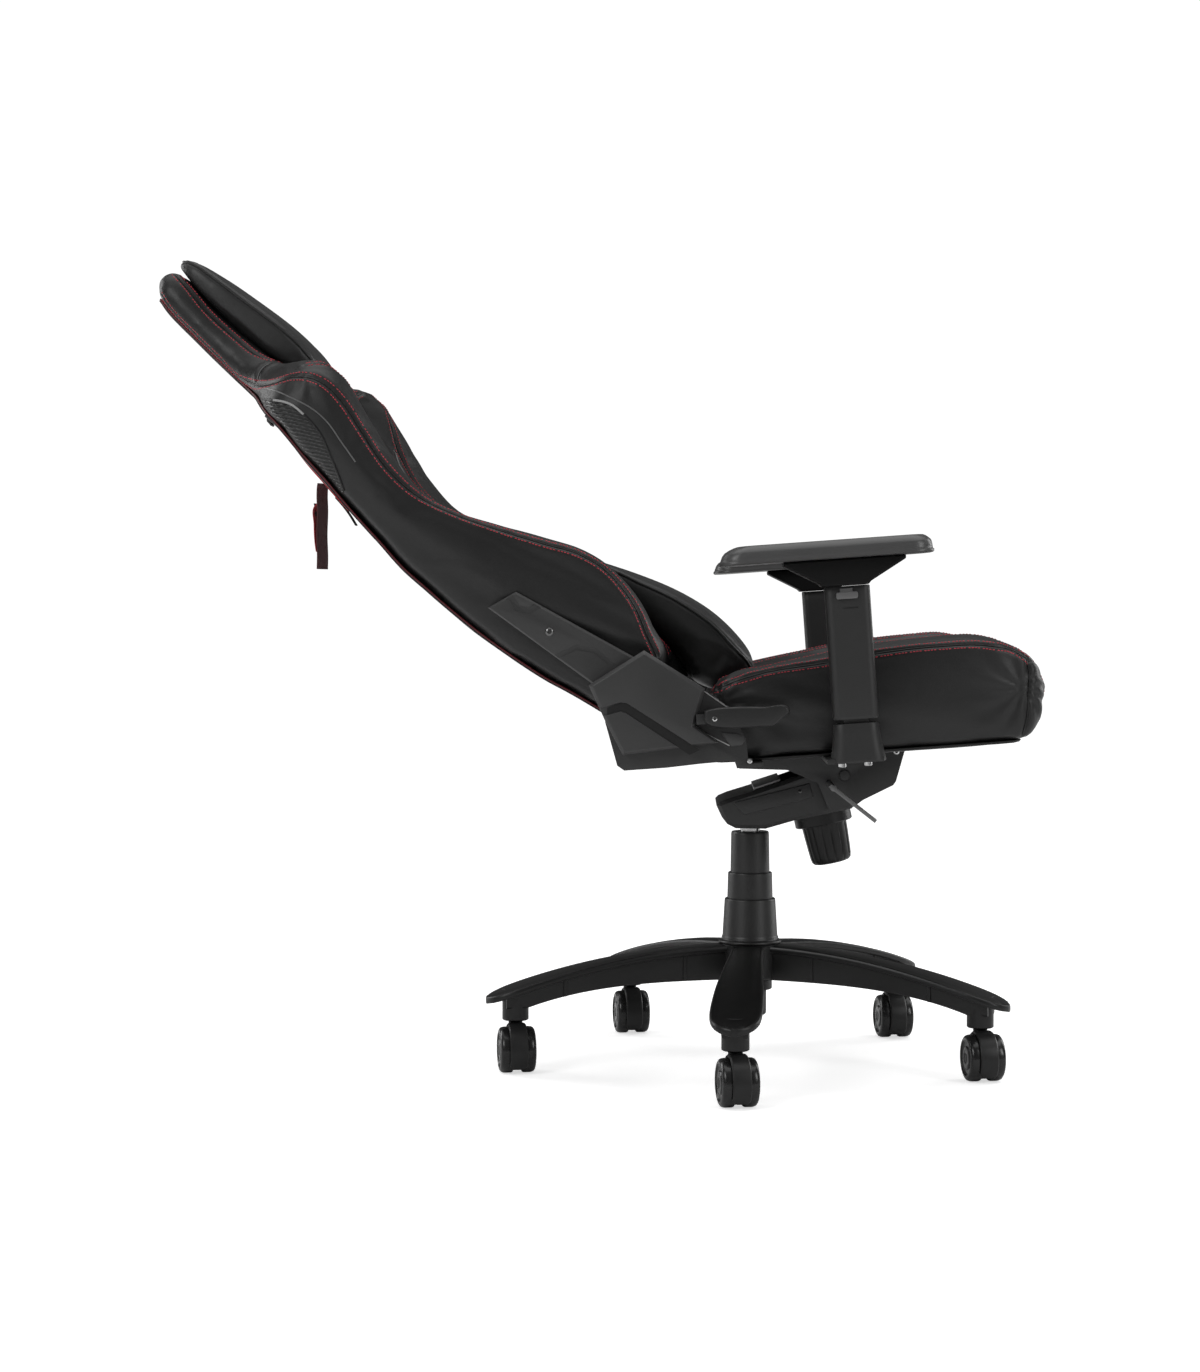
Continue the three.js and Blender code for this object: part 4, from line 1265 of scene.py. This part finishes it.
def make_straps():
    low, high = extent("rear_strap", BACK)
    route = [(back_rear(z) - off, z) for z, off in STRAP_SLACK]
    strap = webbing("rear_webbing", route, low.y, high.y, 3.0, BACK)
    hand_over(strap, "back", "red_web", "red_webbing", "rear_strap")
    loose = [(back_rear(read) - off, z) for z, off, read in TIP_SLACK]
    tongue = webbing("rear_webbing_tip", loose, low.y + 2, high.y - 2, 2.0, BACK)
    hand_over(tongue, "back", "dark_web", "red_webbing")
    make_buckle()
    make_tail()


def make_buckle():
    """A ladder buckle: three bars across, two along, and a lifting tab."""
    low, high = extent("strap_buckle", BACK)
    middle = (low.x + high.x) / 2
    bars = []
    for z in (low.z + 2.4, (low.z + high.z) / 2, high.z - 2.4):
        path = [BACK @ Vector((middle + 0.5, y, z)) for y in np.linspace(low.y + 1, high.y - 1, 8)]
        bars.append(tube("bar", path, 2.1 * MM, sides=10))
    for y in (low.y + 2.2, high.y - 2.2):
        path = [BACK @ Vector((middle + 0.3, y, z)) for z in np.linspace(low.z + 1, high.z - 1, 8)]
        bars.append(tube("bar", path, 2.0 * MM, sides=10))
    tab = plate("tab", [(middle - 1.2, high.z - 3), (middle - 4.5, high.z - 6), (middle - 5.6, high.z - 14),
                        (middle - 3.4, high.z - 14), (middle - 0.6, high.z - 7)], low.y + 6, high.y - 6, BACK)
    bars.append(bevel(tab, 0.5))
    hand_over(join_objects("buckle_frame", bars), "back", "trim", "trim_plastic", "strap_buckle")


TAIL_TWIST = 25              # degrees that the hanging strap end has turned about its length
TAIL_WIDTH = 25


def make_tail():
    """The strap's hanging end: a red ribbon painted darker as painted shade, with a bright folded flap and a
    plain dark tab.
    """
    low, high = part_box("strap_tail")
    centre = [(low[k] + high[k]) / 2 for k in range(2)]
    top, bottom = high[2] / MM, low[2] / MM
    place = Matrix.Translation((centre[0], centre[1], 0)) @ Matrix.Rotation(-math.radians(TAIL_TWIST), 4, "Z")
    place = place @ Matrix.Scale(MM, 4)
    half = TAIL_WIDTH / 2
    route = [(1.4, top + 6), (0.6, top + 2), (0, top - 6), (0.5, top - 28), (-0.6, top - 60), (0.3, top - 88),
             (-0.1, bottom)]
    # The ribbon is the same red webbing as the flap, with painted shade.
    ribbon = webbing("strap_ribbon", route, -half, half, 2.2, place)
    hand_over(ribbon, "strap_end", "shaded_red_web", "red_webbing", "strap_tail")
    flap_route = [(-1.8, top - 20), (-5.6, top - 24), (-5.8, top - 45), (-4.0, top - 72), (-2.6, bottom + 22)]
    flap = webbing("strap_flap", flap_route, -half + 2, half - 2, 2.0, place)
    hand_over(flap, "strap_end", "red_web", "red_webbing")
    label_route = [(-8.4, top - 19), (-7.2, top - 25), (-7.4, top - 58)]
    label = webbing("strap_label", label_route, -half + 6, half - 6, 0.9, place)
    hand_over(label, "strap_end", "dark_web", "red_webbing")


# ---- Recliner covers, arms and levers ----
CHEVRON_GROOVE = [(-301, 113), (-273, 118.5), (-266, 117.4), (-182, 55), (-195, 50), (-268, 105.5),
                  (-274, 107.8), (-301, 102)]
LEVER_OUTLINE = [(-174, 101.6), (-166, 103), (-136, 104), (-104, 101.6), (-72, 97.4), (-71, 94.6),
                 (-81, 86.4), (-92, 79), (-108, 78.2), (-156, 80.6), (-168, 83.6), (-174, 88)]
UPPER_NOTCH = [(-30, 236), (-22, 219), (-27, 205), (-19, 190), (-4, 184), (2, 192), (-13, 196), (-18, 206),
               (-14, 219), (-20, 236)]
LOWER_NOTCH = [(-36, 128), (-14, 118), (-3, 100), (-2, 78), (4, 78), (4, 101), (-9, 123), (-36, 135)]


GROOVE_DEPTH = 2.8
GROOVE_START = -290          # the groove's dark floor stops short of the cover's rear edge
# Pale tubes along the bracket's edges, painted highlights: (x, z) points.
BRACKET_HIGHLIGHTS = [[(-174, 126), (-164, 118), (-138, 97)], [(-184, 79), (-168, 70), (-146, 57)]]
BRACKET_PAD = [(-156, 74), (-136, 71), (-129, 68), (-127, 62), (-131, 56.5), (-144, 56)]


def make_recliners():
    for side, label in SIDES:
        node = "recliner_cover_" + label
        face = outer_face(node, SEAT, side)
        groove = plate("groove", CHEVRON_GROOVE, *slab(face, side, GROOVE_DEPTH, 4), SEAT)
        refined(node, "seat", "trim", "trim_plastic", width=2.6, segments=3, cutters=[groove])
        floor = slab(face, side, GROOVE_DEPTH + 0.4, 0.7 - GROOVE_DEPTH)
        outline = [(max(x, GROOVE_START), z) for x, z in CHEVRON_GROOVE]
        hand_over(plate("groove_floor_" + label, outline, *floor, SEAT), "seat", "knob", "trim_plastic")
        node = "back_arm_" + label
        face = outer_face(node, BACK, side)
        cut = slab(face, side, 0.9, 4)
        notches = [plate("notch", outline, *cut, BACK) for outline in (UPPER_NOTCH, LOWER_NOTCH)]
        refined(node, "back", "trim", "trim_plastic", width=2.0, segments=3, cutters=notches)
        screw = socket_screw("back_arm_screw_" + label, (-19, face, 157.5), side, 5.0, BACK)
        hand_over(screw, "back", "screw", "bright_steel")
        bracket = "side_bracket_" + label
        refined(bracket, "seat", "powder", "black_steel", width=0.5)
        bracket_trim(bracket, side, label)
        bolt = socket_screw("side_bolt_" + label, (-123, face + side * 5.4, 37), side, 3.6, SEAT)
        hand_over(bolt, "seat", "chrome", "bright_steel")
    make_recline_lever()
    refined("cross_rod", "seat", "chrome", "bright_steel", width=0.6)


def bracket_trim(node, side, label):
    """Two thin pale tubes along its edges as painted highlights, and a small raised pad on the outside of a
    side bracket.
    """
    face = outer_face(node, SEAT, side)
    lines = []
    for line in BRACKET_HIGHLIGHTS:
        path = [SEAT @ Vector((x, face, z)) for x, z in line]
        lines.append(tube("line", path, 0.7 * MM, sides=8))
    hand_over(join_objects("bracket_painted_highlights_" + label, lines), "seat", "painted_highlight", "black_steel")
    pad = plate("bracket_pad_" + label, BRACKET_PAD, *slab(face, side, 0.5, 1.4), SEAT)
    hand_over(bevel(pad, 0.8), "seat", "trim", "black_steel")


def socket_screw(name, place_mm, side, radius, place):
    """A button-head socket screw standing on a face square to Y."""
    x, y, z = place_mm
    steps = ((0, -1.5), (1, -1.5), (1, 0.5), (0.86, 1.3), (0.5, 1.7), (0.46, -0.3), (0, -0.3))
    profile = [(radius * part, y + side * out) for part, out in steps]
    return turned(name, profile, place @ Matrix.Translation((x, 0, z)), segments=24, axis="Y")


def make_recline_lever():
    """Paddle with rounded faces, its neck and its pin, and a screw in the pin."""
    low, high = extent("recline_lever", SEAT)
    face = low.y
    centre = np.mean(LEVER_OUTLINE, axis=0)
    rings = []
    for inset, y in ((3.2, face), (1.0, face + 1.6), (0.0, face + 5), (0.0, face + 15), (1.5, face + 20)):
        ring = []
        for x, z in dense(LEVER_OUTLINE + LEVER_OUTLINE[:1], 2.5)[:-1]:
            pull = centre - np.array((x, z))
            pull = pull / (np.linalg.norm(pull) + 1e-9) * inset
            ring.append((x + pull[0], y, z + pull[1]))
        rings.append(ring)
    blade = loft("lever_blade", rings, SEAT)
    bevel(blade, 0.5, segments=2, angle=35)
    neck = plate("neck", [(-184, 98), (-168, 97), (-168, 86), (-184, 85.5)], face + 6, face + 15, SEAT)
    bevel(neck, 0.8)
    pin = turned("pin", [(0, face + 18), (6, face + 18), (6, high.y), (0, high.y)],
                 SEAT @ Matrix.Translation((-161, 0, 91.5)), segments=32, axis="Y")
    hand_over(join_objects("recline_handle", [blade, neck, pin]), "recline_handle", "handle", "trim_plastic",
              "recline_lever")
    screw = socket_screw("recline_handle_screw", (-161.8, face, 91.5), -1, 3.4, SEAT)
    hand_over(screw, "recline_handle", "chrome", "bright_steel")


def make_armrests():
    for side, label in SIDES:
        make_arm_base(side, label)
        refined("arm_post_" + label, "seat", "powder", "arm_base", width=0.8)
        make_arm_sleeve(side, label)
        make_arm_button(side, label)
        refined("arm_carrier_" + label, "arm_%s_swivel" % label, "carrier", "arm_plastic", width=1.2)
        make_arm_pad(side, label)


def rounded_rectangle(cx, cy, half_x, half_y, corner, z, steps=6):
    ring = []
    for sx, sy, start in ((1, 1, 0), (-1, 1, 90), (-1, -1, 180), (1, -1, 270)):
        for step in range(steps + 1):
            turn = math.radians(start + 90 * step / steps)
            ring.append((cx + sx * (half_x - corner) + corner * math.cos(turn),
                         cy + sy * (half_y - corner) + corner * math.sin(turn), z))
    return ring


ARM_X = 6                    # middle of the post, in the seat's frame
ARM_Y = 303
# Socket of the armrest's base: half length, half width, corner and height.
ARM_SOCKET = [(31.6, 19.4, 15, 28.6), (33, 20, 16, 29.6), (33, 20, 16, 31), (31.4, 19.4, 15, 40),
              (29.2, 18.4, 14, 52), (27.8, 17.6, 13, 62), (27, 17, 12, 73.4), (26, 16.2, 11, 75),
              (17, 9.6, 4, 75), (15.6, 8.6, 2, 73), (15.6, 8.6, 2, 50)]
ARM_BOLT = [(0, 23.4), (3.4, 23.4), (4.6, 24.4), (4.6, 28.2), (0, 28.2)]
KEY_BAR = [(-7, 223.5), (16, 223.5), (17.5, 225.5), (17.5, 230), (16, 232), (-7, 232), (-8.5, 230),
           (-8.5, 225.5)]
KEY_SLIDE = [(-3.5, 231), (11.5, 231), (11.5, 236.4), (-3.5, 236.4)]
# Sleeve from inside its foot, up the outside and into its top: half length, half width, corner, height.
ARM_SLEEVE = [(15.6, 8.6, 2, 96), (15.6, 8.6, 2, 80), (25.6, 15.6, 9, 80), (26.6, 16.6, 9, 81.2),
              (27, 17, 9, 84), (27, 17, 9, 130), (27, 17, 9, 180), (27, 17, 9, 225), (27, 17, 9, 237.6),
              (26.4, 16.4, 9, 239), (19, 11, 6, 239), (19, 11, 6, 236)]
# Levels of the pad: extra half length, half width, z, corner and shift to the front.
PAD_LEVELS = [(-5, 41, 272.0, 22, -1), (-1.5, 45.5, 272.2, 25, 0), (0, 47, 273.4, 26, 0), (0, 47, 276, 26, 0),
              (-1.4, 46, 277, 25, 0), (-2, 45.8, 280, 25, 0.4), (-3.2, 45.4, 284.4, 25, 1.2),
              (-5, 44, 287.4, 25, 2), (-9, 41, 290.4, 24, 3.2), (-13.5, 37.6, 292.8, 23, 4.6),
              (-17, 35, 294, 22, 5.6), (-20, 32, 294.3, 20, 6)]


def make_arm_base(side, label):
    """Foot plate, flared socket and the plastic ring at its top."""
    rings = [rounded_rectangle(ARM_X, side * ARM_Y, *row, steps=8) for row in ARM_SOCKET]
    flare = loft("flare", rings, SEAT)
    foot = plate("foot", [(-32, 28), (36, 28), (36, 34), (-32, 34)], *sorted((side * 97, side * 318)), SEAT)
    base = join_objects("arm_base_" + label, [flare, bevel(foot, 0.8)])
    hand_over(base, "seat", "arm", "arm_base", "arm_bracket_" + label, angle=35)
    for x in (-14, 17):
        place = SEAT @ Matrix.Translation((x, side * 311, 0))
        head = turned("arm_base_bolt_%s_%d" % (label, x + 20), ARM_BOLT, place, segments=20)
        hand_over(head, "seat", "chrome", "bright_steel")


def make_arm_button(side, label):
    """Height key: a rounded bar that stands out of the sleeve under a short flat slide."""
    face = side * (ARM_Y + 17.3)
    bar = plate("key_bar", KEY_BAR, *slab(face, side, 0, 5.6), SEAT)
    bevel(bar, 1.6, segments=4)
    slide = plate("key_slide", KEY_SLIDE, *slab(face, side, 0, 1.8), SEAT)
    bevel(slide, 0.6)
    key = join_objects("height_key_" + label, [bar, slide])
    hand_over(key, "arm_%s_key" % label, "key", "arm_plastic", "arm_button_" + label)


def make_arm_sleeve(side, label):
    """Sliding sleeve with a narrow slot across its outer face."""
    sleeve = loft("sleeve", [rounded_rectangle(ARM_X, side * ARM_Y, *row) for row in ARM_SLEEVE], SEAT)
    slot = [(ARM_X - 7, 212), (ARM_X + 11, 212), (ARM_X + 11, 213.6), (ARM_X - 7, 213.6)]
    carve(sleeve, [plate("slot", slot, *slab(side * (ARM_Y + 17), side, 1.2, 3), SEAT)])
    hand_over(sleeve, "arm_%s_height" % label, "arm", "arm_plastic", "arm_sleeve_" + label, angle=35)


def make_arm_pad(side, label):
    """Moulded pad: a lip round the underside, upright flanks and a bevelled, slightly dished top."""
    node = "arm_pad_" + label
    low, high = extent(node, SEAT)
    middle = (low.x + high.x) / 2
    half = (high.x - low.x) / 2
    y = side * ARM_Y
    rings = [rounded_rectangle(middle + shift, y, half + grow, wide, corner, z, steps=10)
             for grow, wide, z, corner, shift in PAD_LEVELS]
    for scale, z in ((0.75, 294.0), (0.45, 293.7), (0.15, 293.6)):
        last = rounded_rectangle(middle + 6, y, half - 20, 32, 20, z, steps=10)
        rings.append([(middle + 6 + (px - middle - 6) * scale, y + (py - y) * scale, pz)
                      for px, py, pz in last])
    pad = loft("pad_" + label, rings, SEAT)
    hand_over(pad, "arm_%s_top" % label, "pad", "arm_pad", node, angle=50)


# ---- Five-star base and casters ----
ARM_COUNT = 5
FIRST_ARM = 4.55             # degrees from -Y towards -X
BASE_RADIUS = 350
STEM_RADIUS = 312
# The blade's half width along the arm: distance from the column, half width.
BLADE = [(24, 21), (90, 22), (170, 26), (245, 30.5), (300, 32), (320, 30.5), (334, 25.5), (343, 18.5),
         (348, 11), (350, 5)]
WHEEL_R = 29.5
CASTER_TRAIL = 12
CASTER_TURN = math.radians(190.5)    # how far each caster has swivelled from trailing towards +Y
HOOD_R = 34
HOOD_HALF = 11.5


def arm_top(radius):
    return 158 - 61 * (radius / BASE_RADIUS) ** 2.1


def web_bottom(radius):
    return 112 - 26 * (min(radius, 300) / 288) ** 3.4


def arm_direction(number):
    return -math.pi / 2 - math.radians(FIRST_ARM + number * 360 / ARM_COUNT)


def base_arm(place):
    """One arm: a crowned blade with a raised rim over a ribbed web, ending in the caster's socket."""
    rings = []
    for radius, half in fine_table(BLADE, 7):
        z = arm_top(radius)
        half_ring = [(half - 2.5, z - 9.2), (half - 0.6, z - 8.4), (half, z - 6.5), (half, z - 3.4),
                     (half - 0.9, z - 1.6), (half - 2.6, z - 0.8), (half - 4.4, z - 1.3),
                     (half * 0.6, z + 0.1), (half * 0.25, z + 0.6)]
        rings.append([(radius, y, level) for y, level in both_halves(half_ring)])
    blade = loft("blade", rings, place)
    rings = []
    for radius in np.linspace(24, 326, 34):
        low, high = web_bottom(radius), arm_top(radius) - 5
        rings.append([(radius, -14.6, low), (radius, -16, low + 1.6), (radius, -18, high), (radius, 18, high),
                      (radius, 16, low + 1.6), (radius, 14.6, low)])
    pieces = [blade, loft("web", rings, place)]
    for radius in (92, 250):
        low, high = web_bottom(radius) + 0.4, arm_top(radius) - 6
        for side in (-1, 1):
            rib = [[(radius - 2.2, side * y, z), (radius + 2.2, side * y, z),
                    (radius + 1.6, side * (y + 1.6), z), (radius - 1.6, side * (y + 1.6), z)]
                   for y, z in ((16, low), (17.9, high))]
            pieces.append(loft("rib", rib, place))
    boss = [(0, 66), (15.6, 66), (17, 67.2), (17, arm_top(STEM_RADIUS) - 4), (0, arm_top(STEM_RADIUS) - 4)]
    pieces.append(turned("boss", boss, place @ Matrix.Translation((STEM_RADIUS, 0, 0)), segments=40))
    return pieces


def make_base():
    pieces = []
    for number in range(ARM_COUNT):
        place = FLOOR @ Matrix.Rotation(arm_direction(number), 4, "Z")
        pieces += base_arm(place)
    hub = [(21.8, 98), (28, 98), (29, 99), (29, 110), (39, 113.4), (40, 114.6), (42, 153), (41.6, 156.4),
           (40, 158), (21.8, 158)]
    pieces.append(turned("hub", hub, FLOOR, segments=72))
    base = join_objects("five_star_base", pieces)
    hand_over(base, "base", "nylon", "base_nylon", "star_base", angle=32)


def make_column():
    """Gas column, its piston and the three covers that slide into each other."""
    lower = [(30.8, 158.5), (40, 158.5), (41, 159.4), (41, 161.6), (40, 162.6), (37.8, 163.2), (37, 164.6),
             (37.2, 166), (36.4, 167.4), (36, 169), (33.3, 214.6), (32.8, 216.4), (32, 217), (30.8, 217)]
    middle = [(27.2, 200), (30.2, 200), (28.9, 248.6), (28.6, 250.4), (28, 251), (27.2, 251)]
    upper = [(22.4, 234), (26, 234), (25.8, 240), (24.8, 301), (24.4, 303.4), (23.6, 304.5), (14.2, 304.5),
             (14.2, 302), (22.4, 302)]
    tube_profile = [(0, 64), (19, 64), (21, 65.6), (21.5, 70), (21.5, 232), (13.6, 232), (13.6, 230),
                    (13.6, 68), (0, 68)]
    piston = [(0, 150), (13, 150), (13, 318), (12, 348), (0, 348)]
    for name, profile, body, look, slot, node in (
            ("column_cover_lower", lower, "base", "cover", "cover_plastic", "cover_lower"),
            ("column_cover_middle", middle, "gas_cover", "cover", "cover_plastic", "cover_middle"),
            ("column_cover_upper", upper, "lift", "cover", "cover_plastic", "cover_upper"),
            ("gas_column", tube_profile, "base", "powder", "black_steel", "column_tube"),
            ("gas_piston", piston, "lift", "chrome", "bright_steel", "gas_cylinder")):
        made = turned(name, profile, FLOOR, segments=80)
        hand_over(made, body, look, slot, node, angle=50)


def wheel_profile(outer):
    """Half a wheel's section, as radius and distance from the middle, out to the given distance."""
    inner = 6
    return [(3.4, inner), (27.3, inner), (28.9, inner + 0.6), (29.5, inner + 2.2), (29.5, outer - 7.5),
            (29.2, outer - 4.6), (28.2, outer - 2.2), (26.4, outer - 0.8), (24.4, outer - 0.2), (22.6, outer),
            (21.6, outer - 1.4), (20.4, outer - 2.2), (15, outer - 2.4), (13.8, outer - 1.0),
            (12.8, outer - 0.6), (7.6, outer - 0.4), (6.4, outer - 1.2), (3.4, outer - 1.4)]


def caster_hood(place):
    """Ribbed band over both wheels, the web between them, and the stem."""
    arc = []
    steps = 46
    for i in range(steps + 1):
        turn = math.radians(-42 + 184 * i / steps)
        arc.append((turn, 0.55 * (0.5 + 0.5 * math.cos(i * math.pi)) if 2 < i < steps - 2 else 0.3))
    rings = []
    for turn, rib in arc:
        ring = []
        width = HOOD_HALF - 4.5 * max(0.0, (math.radians(-32) - turn) / math.radians(10)) ** 2
        for half, radius in ((width - 1.2, WHEEL_R + 1.2), (width, WHEEL_R + 1.8), (width, HOOD_R - 1.6),
                             (width - 1.4, HOOD_R - 0.4), (width - 2.6, HOOD_R - rib)):
            ring.append((half, radius))
        ring += [(-half, radius) for half, radius in reversed(ring)]
        rings.append([(half, CASTER_TRAIL + radius * math.cos(turn), WHEEL_R + radius * math.sin(turn))
                      for half, radius in ring])
    pieces = [loft("band", rings, place)]
    axle = place @ Matrix.Translation((0, CASTER_TRAIL, WHEEL_R))
    pieces.append(turned("web", [(3.2, -5), (26.5, -5), (26.5, 5), (3.2, 5)], axle, segments=40, axis="X"))
    bridge = plate("bridge", [(-5, WHEEL_R), (5, WHEEL_R), (5, WHEEL_R + 28), (-5, WHEEL_R + 28)],
                   CASTER_TRAIL - 20, CASTER_TRAIL + 12, place)
    pieces.append(bevel(bridge, 0.6))
    stem = [(0, WHEEL_R + 26), (5.5, WHEEL_R + 26), (5.5, WHEEL_R + 31), (8.4, WHEEL_R + 31),
            (9, WHEEL_R + 31.6), (9, 64), (8.4, 64.5), (5.5, 64.5), (5.5, 91), (4.8, 92), (0, 92)]
    pieces.append(turned("stem", stem, place, segments=32))
    return pieces


def make_casters():
    for number in range(ARM_COUNT):
        turn = arm_direction(number)
        place = FLOOR @ Matrix.Translation((STEM_RADIUS * math.cos(turn), STEM_RADIUS * math.sin(turn), 0))
        place = place @ Matrix.Rotation(CASTER_TURN, 4, "Z")
        tag = "caster_%d_" % (number + 1)
        hood = join_objects(tag + "ribbed_hood", caster_hood(place))
        hand_over(hood, tag + "fork", "hood", "caster_hood", tag + "hood", angle=32)
        axle = place @ Matrix.Translation((0, CASTER_TRAIL, WHEEL_R))
        for side, letter in ((-1, "a"), (1, "b")):
            profile = [(radius, side * width) for radius, width in wheel_profile(23)]
            wheel = turned(tag + "tyre_" + letter, profile, axle, segments=72, axis="X")
            hand_over(wheel, tag + "wheels", "gloss", "caster_wheel", tag + "wheel_" + letter, angle=45)
            section = ((0, 20.6), (0, 22.2), (5, 22.0), (6.2, 21.2), (6.2, 20.6))
            cap = [(radius, side * width) for radius, width in section]
            button = turned(tag + "cap_" + letter, cap, axle, segments=32, axis="X")
            hand_over(button, tag + "wheels", "hood", "caster_hood", angle=45)


# ---- Tilt mechanism ----
KNOB_X = 93
KNOB_Z = 331.5
KNOB_TILT = math.radians(12)
HOUSING_PANEL = [(-23, 347), (74, 372), (79, 354), (-10, 331), (-18, 341)]


def make_mechanism():
    """Housing with its side panels, springs, plates and levers."""
    refined("tilt_housing", "swivel", "housing", "cover_plastic", width=2.2, segments=4, angle=45)
    for side, label in SIDES:
        face = outer_face("tilt_housing", FLOOR, side)
        panel = plate("housing_panel_" + label, HOUSING_PANEL, *slab(face, side, 1.5, 1.6), FLOOR)
        bevel(panel, 0.9)
        hand_over(panel, "swivel", "cover", "cover_plastic")
        screw = socket_screw("housing_screw_" + label, (62, face + side * 1.6, 361.5), side, 2.2, FLOOR)
        hand_over(screw, "swivel", "screw", "bright_steel")
    strip = plate("housing_strip", [(3, 362.4), (37, 373.8), (37, 377), (3, 365.8)], -66, 66, FLOOR)
    bevel(strip, 0.4)
    hand_over(strip, "swivel", "lever", "lever_steel")
    refined("tilt_shaft", "swivel", "powder", "bright_steel", width=0.8)
    refined("tilt_spring", "swivel", "screw", "bright_steel", width=0.6)
    refined("seat_plate", "seat", "powder", "black_steel", width=0.8)
    refined("seat_base_cover", "seat", "cloth", "base_cloth", width=0.8)
    refined("seat_frame", "seat", "powder", "black_steel", width=0.8)
    for node, body in (("height_lever", "height_handle"), ("tilt_lock_lever", "tilt_lock_handle")):
        refined(node, body, "lever", "lever_steel", width=1.4, segments=4)
    for side, label in SIDES:
        for x in (-118, 68):
            bolt = socket_screw("plate_bolt_%s_%d" % (label, x + 130), (x, side * 88, 25.5), side, 4.0, SEAT)
            hand_over(bolt, "seat", "chrome", "bright_steel")
    make_knob()


def make_knob():
    """Fluted tension knob under the housing, with its collar and bolt."""
    place = FLOOR @ Matrix.Translation((KNOB_X, 0, KNOB_Z)) @ Matrix.Rotation(-KNOB_TILT, 4, "Y")
    lobes = 14
    sides = lobes * 10

    def ring(radius, z, depth):
        points = []
        for i in range(sides):
            turn = 2 * math.pi * i / sides
            groove = max(0.0, math.cos(turn * lobes)) ** 3
            r = radius - depth * groove
            points.append((r * math.cos(turn), r * math.sin(turn), z))
        return points

    levels = [(19, -69, 0), (23, -68, 0), (25.6, -65.2, 0.7), (26.8, -60, 1.5), (27.8, -48, 1.8),
              (28.8, -32, 1.8), (29.4, -20, 1.6), (29.6, -16, 0.3), (29.6, -12, 0)]
    grip = loft("grip", [ring(*level) for level in levels], place)
    collar = turned("collar", [(0, -17), (36.2, -17), (37.5, -15.6), (37.5, -2), (36.4, -1), (0, -1)], place,
                    segments=72)
    bolt = turned("bolt", [(0, -8), (5, -8), (5, 46), (0, 46)], place, segments=24)
    knob = join_objects("fluted_knob", [grip, collar, bolt])
    hand_over(knob, "knob", "knob", "knob_plastic", "tension_knob", angle=35)


# ---- The whole scene ----
make_camera()
make_studio()
make_seat()
make_back()
make_rear_panel()
make_pillow("head_pad", HEAD_PILLOW, "head_pillow", "back", "pale_leather", cap=8)
make_pillow("lumbar_pad", LUMBAR_PILLOW, "lumbar_pillow", "lumbar", "leather", cap=7)
make_straps()
make_recliners()
make_armrests()
make_base()
make_column()
make_casters()
make_mechanism()
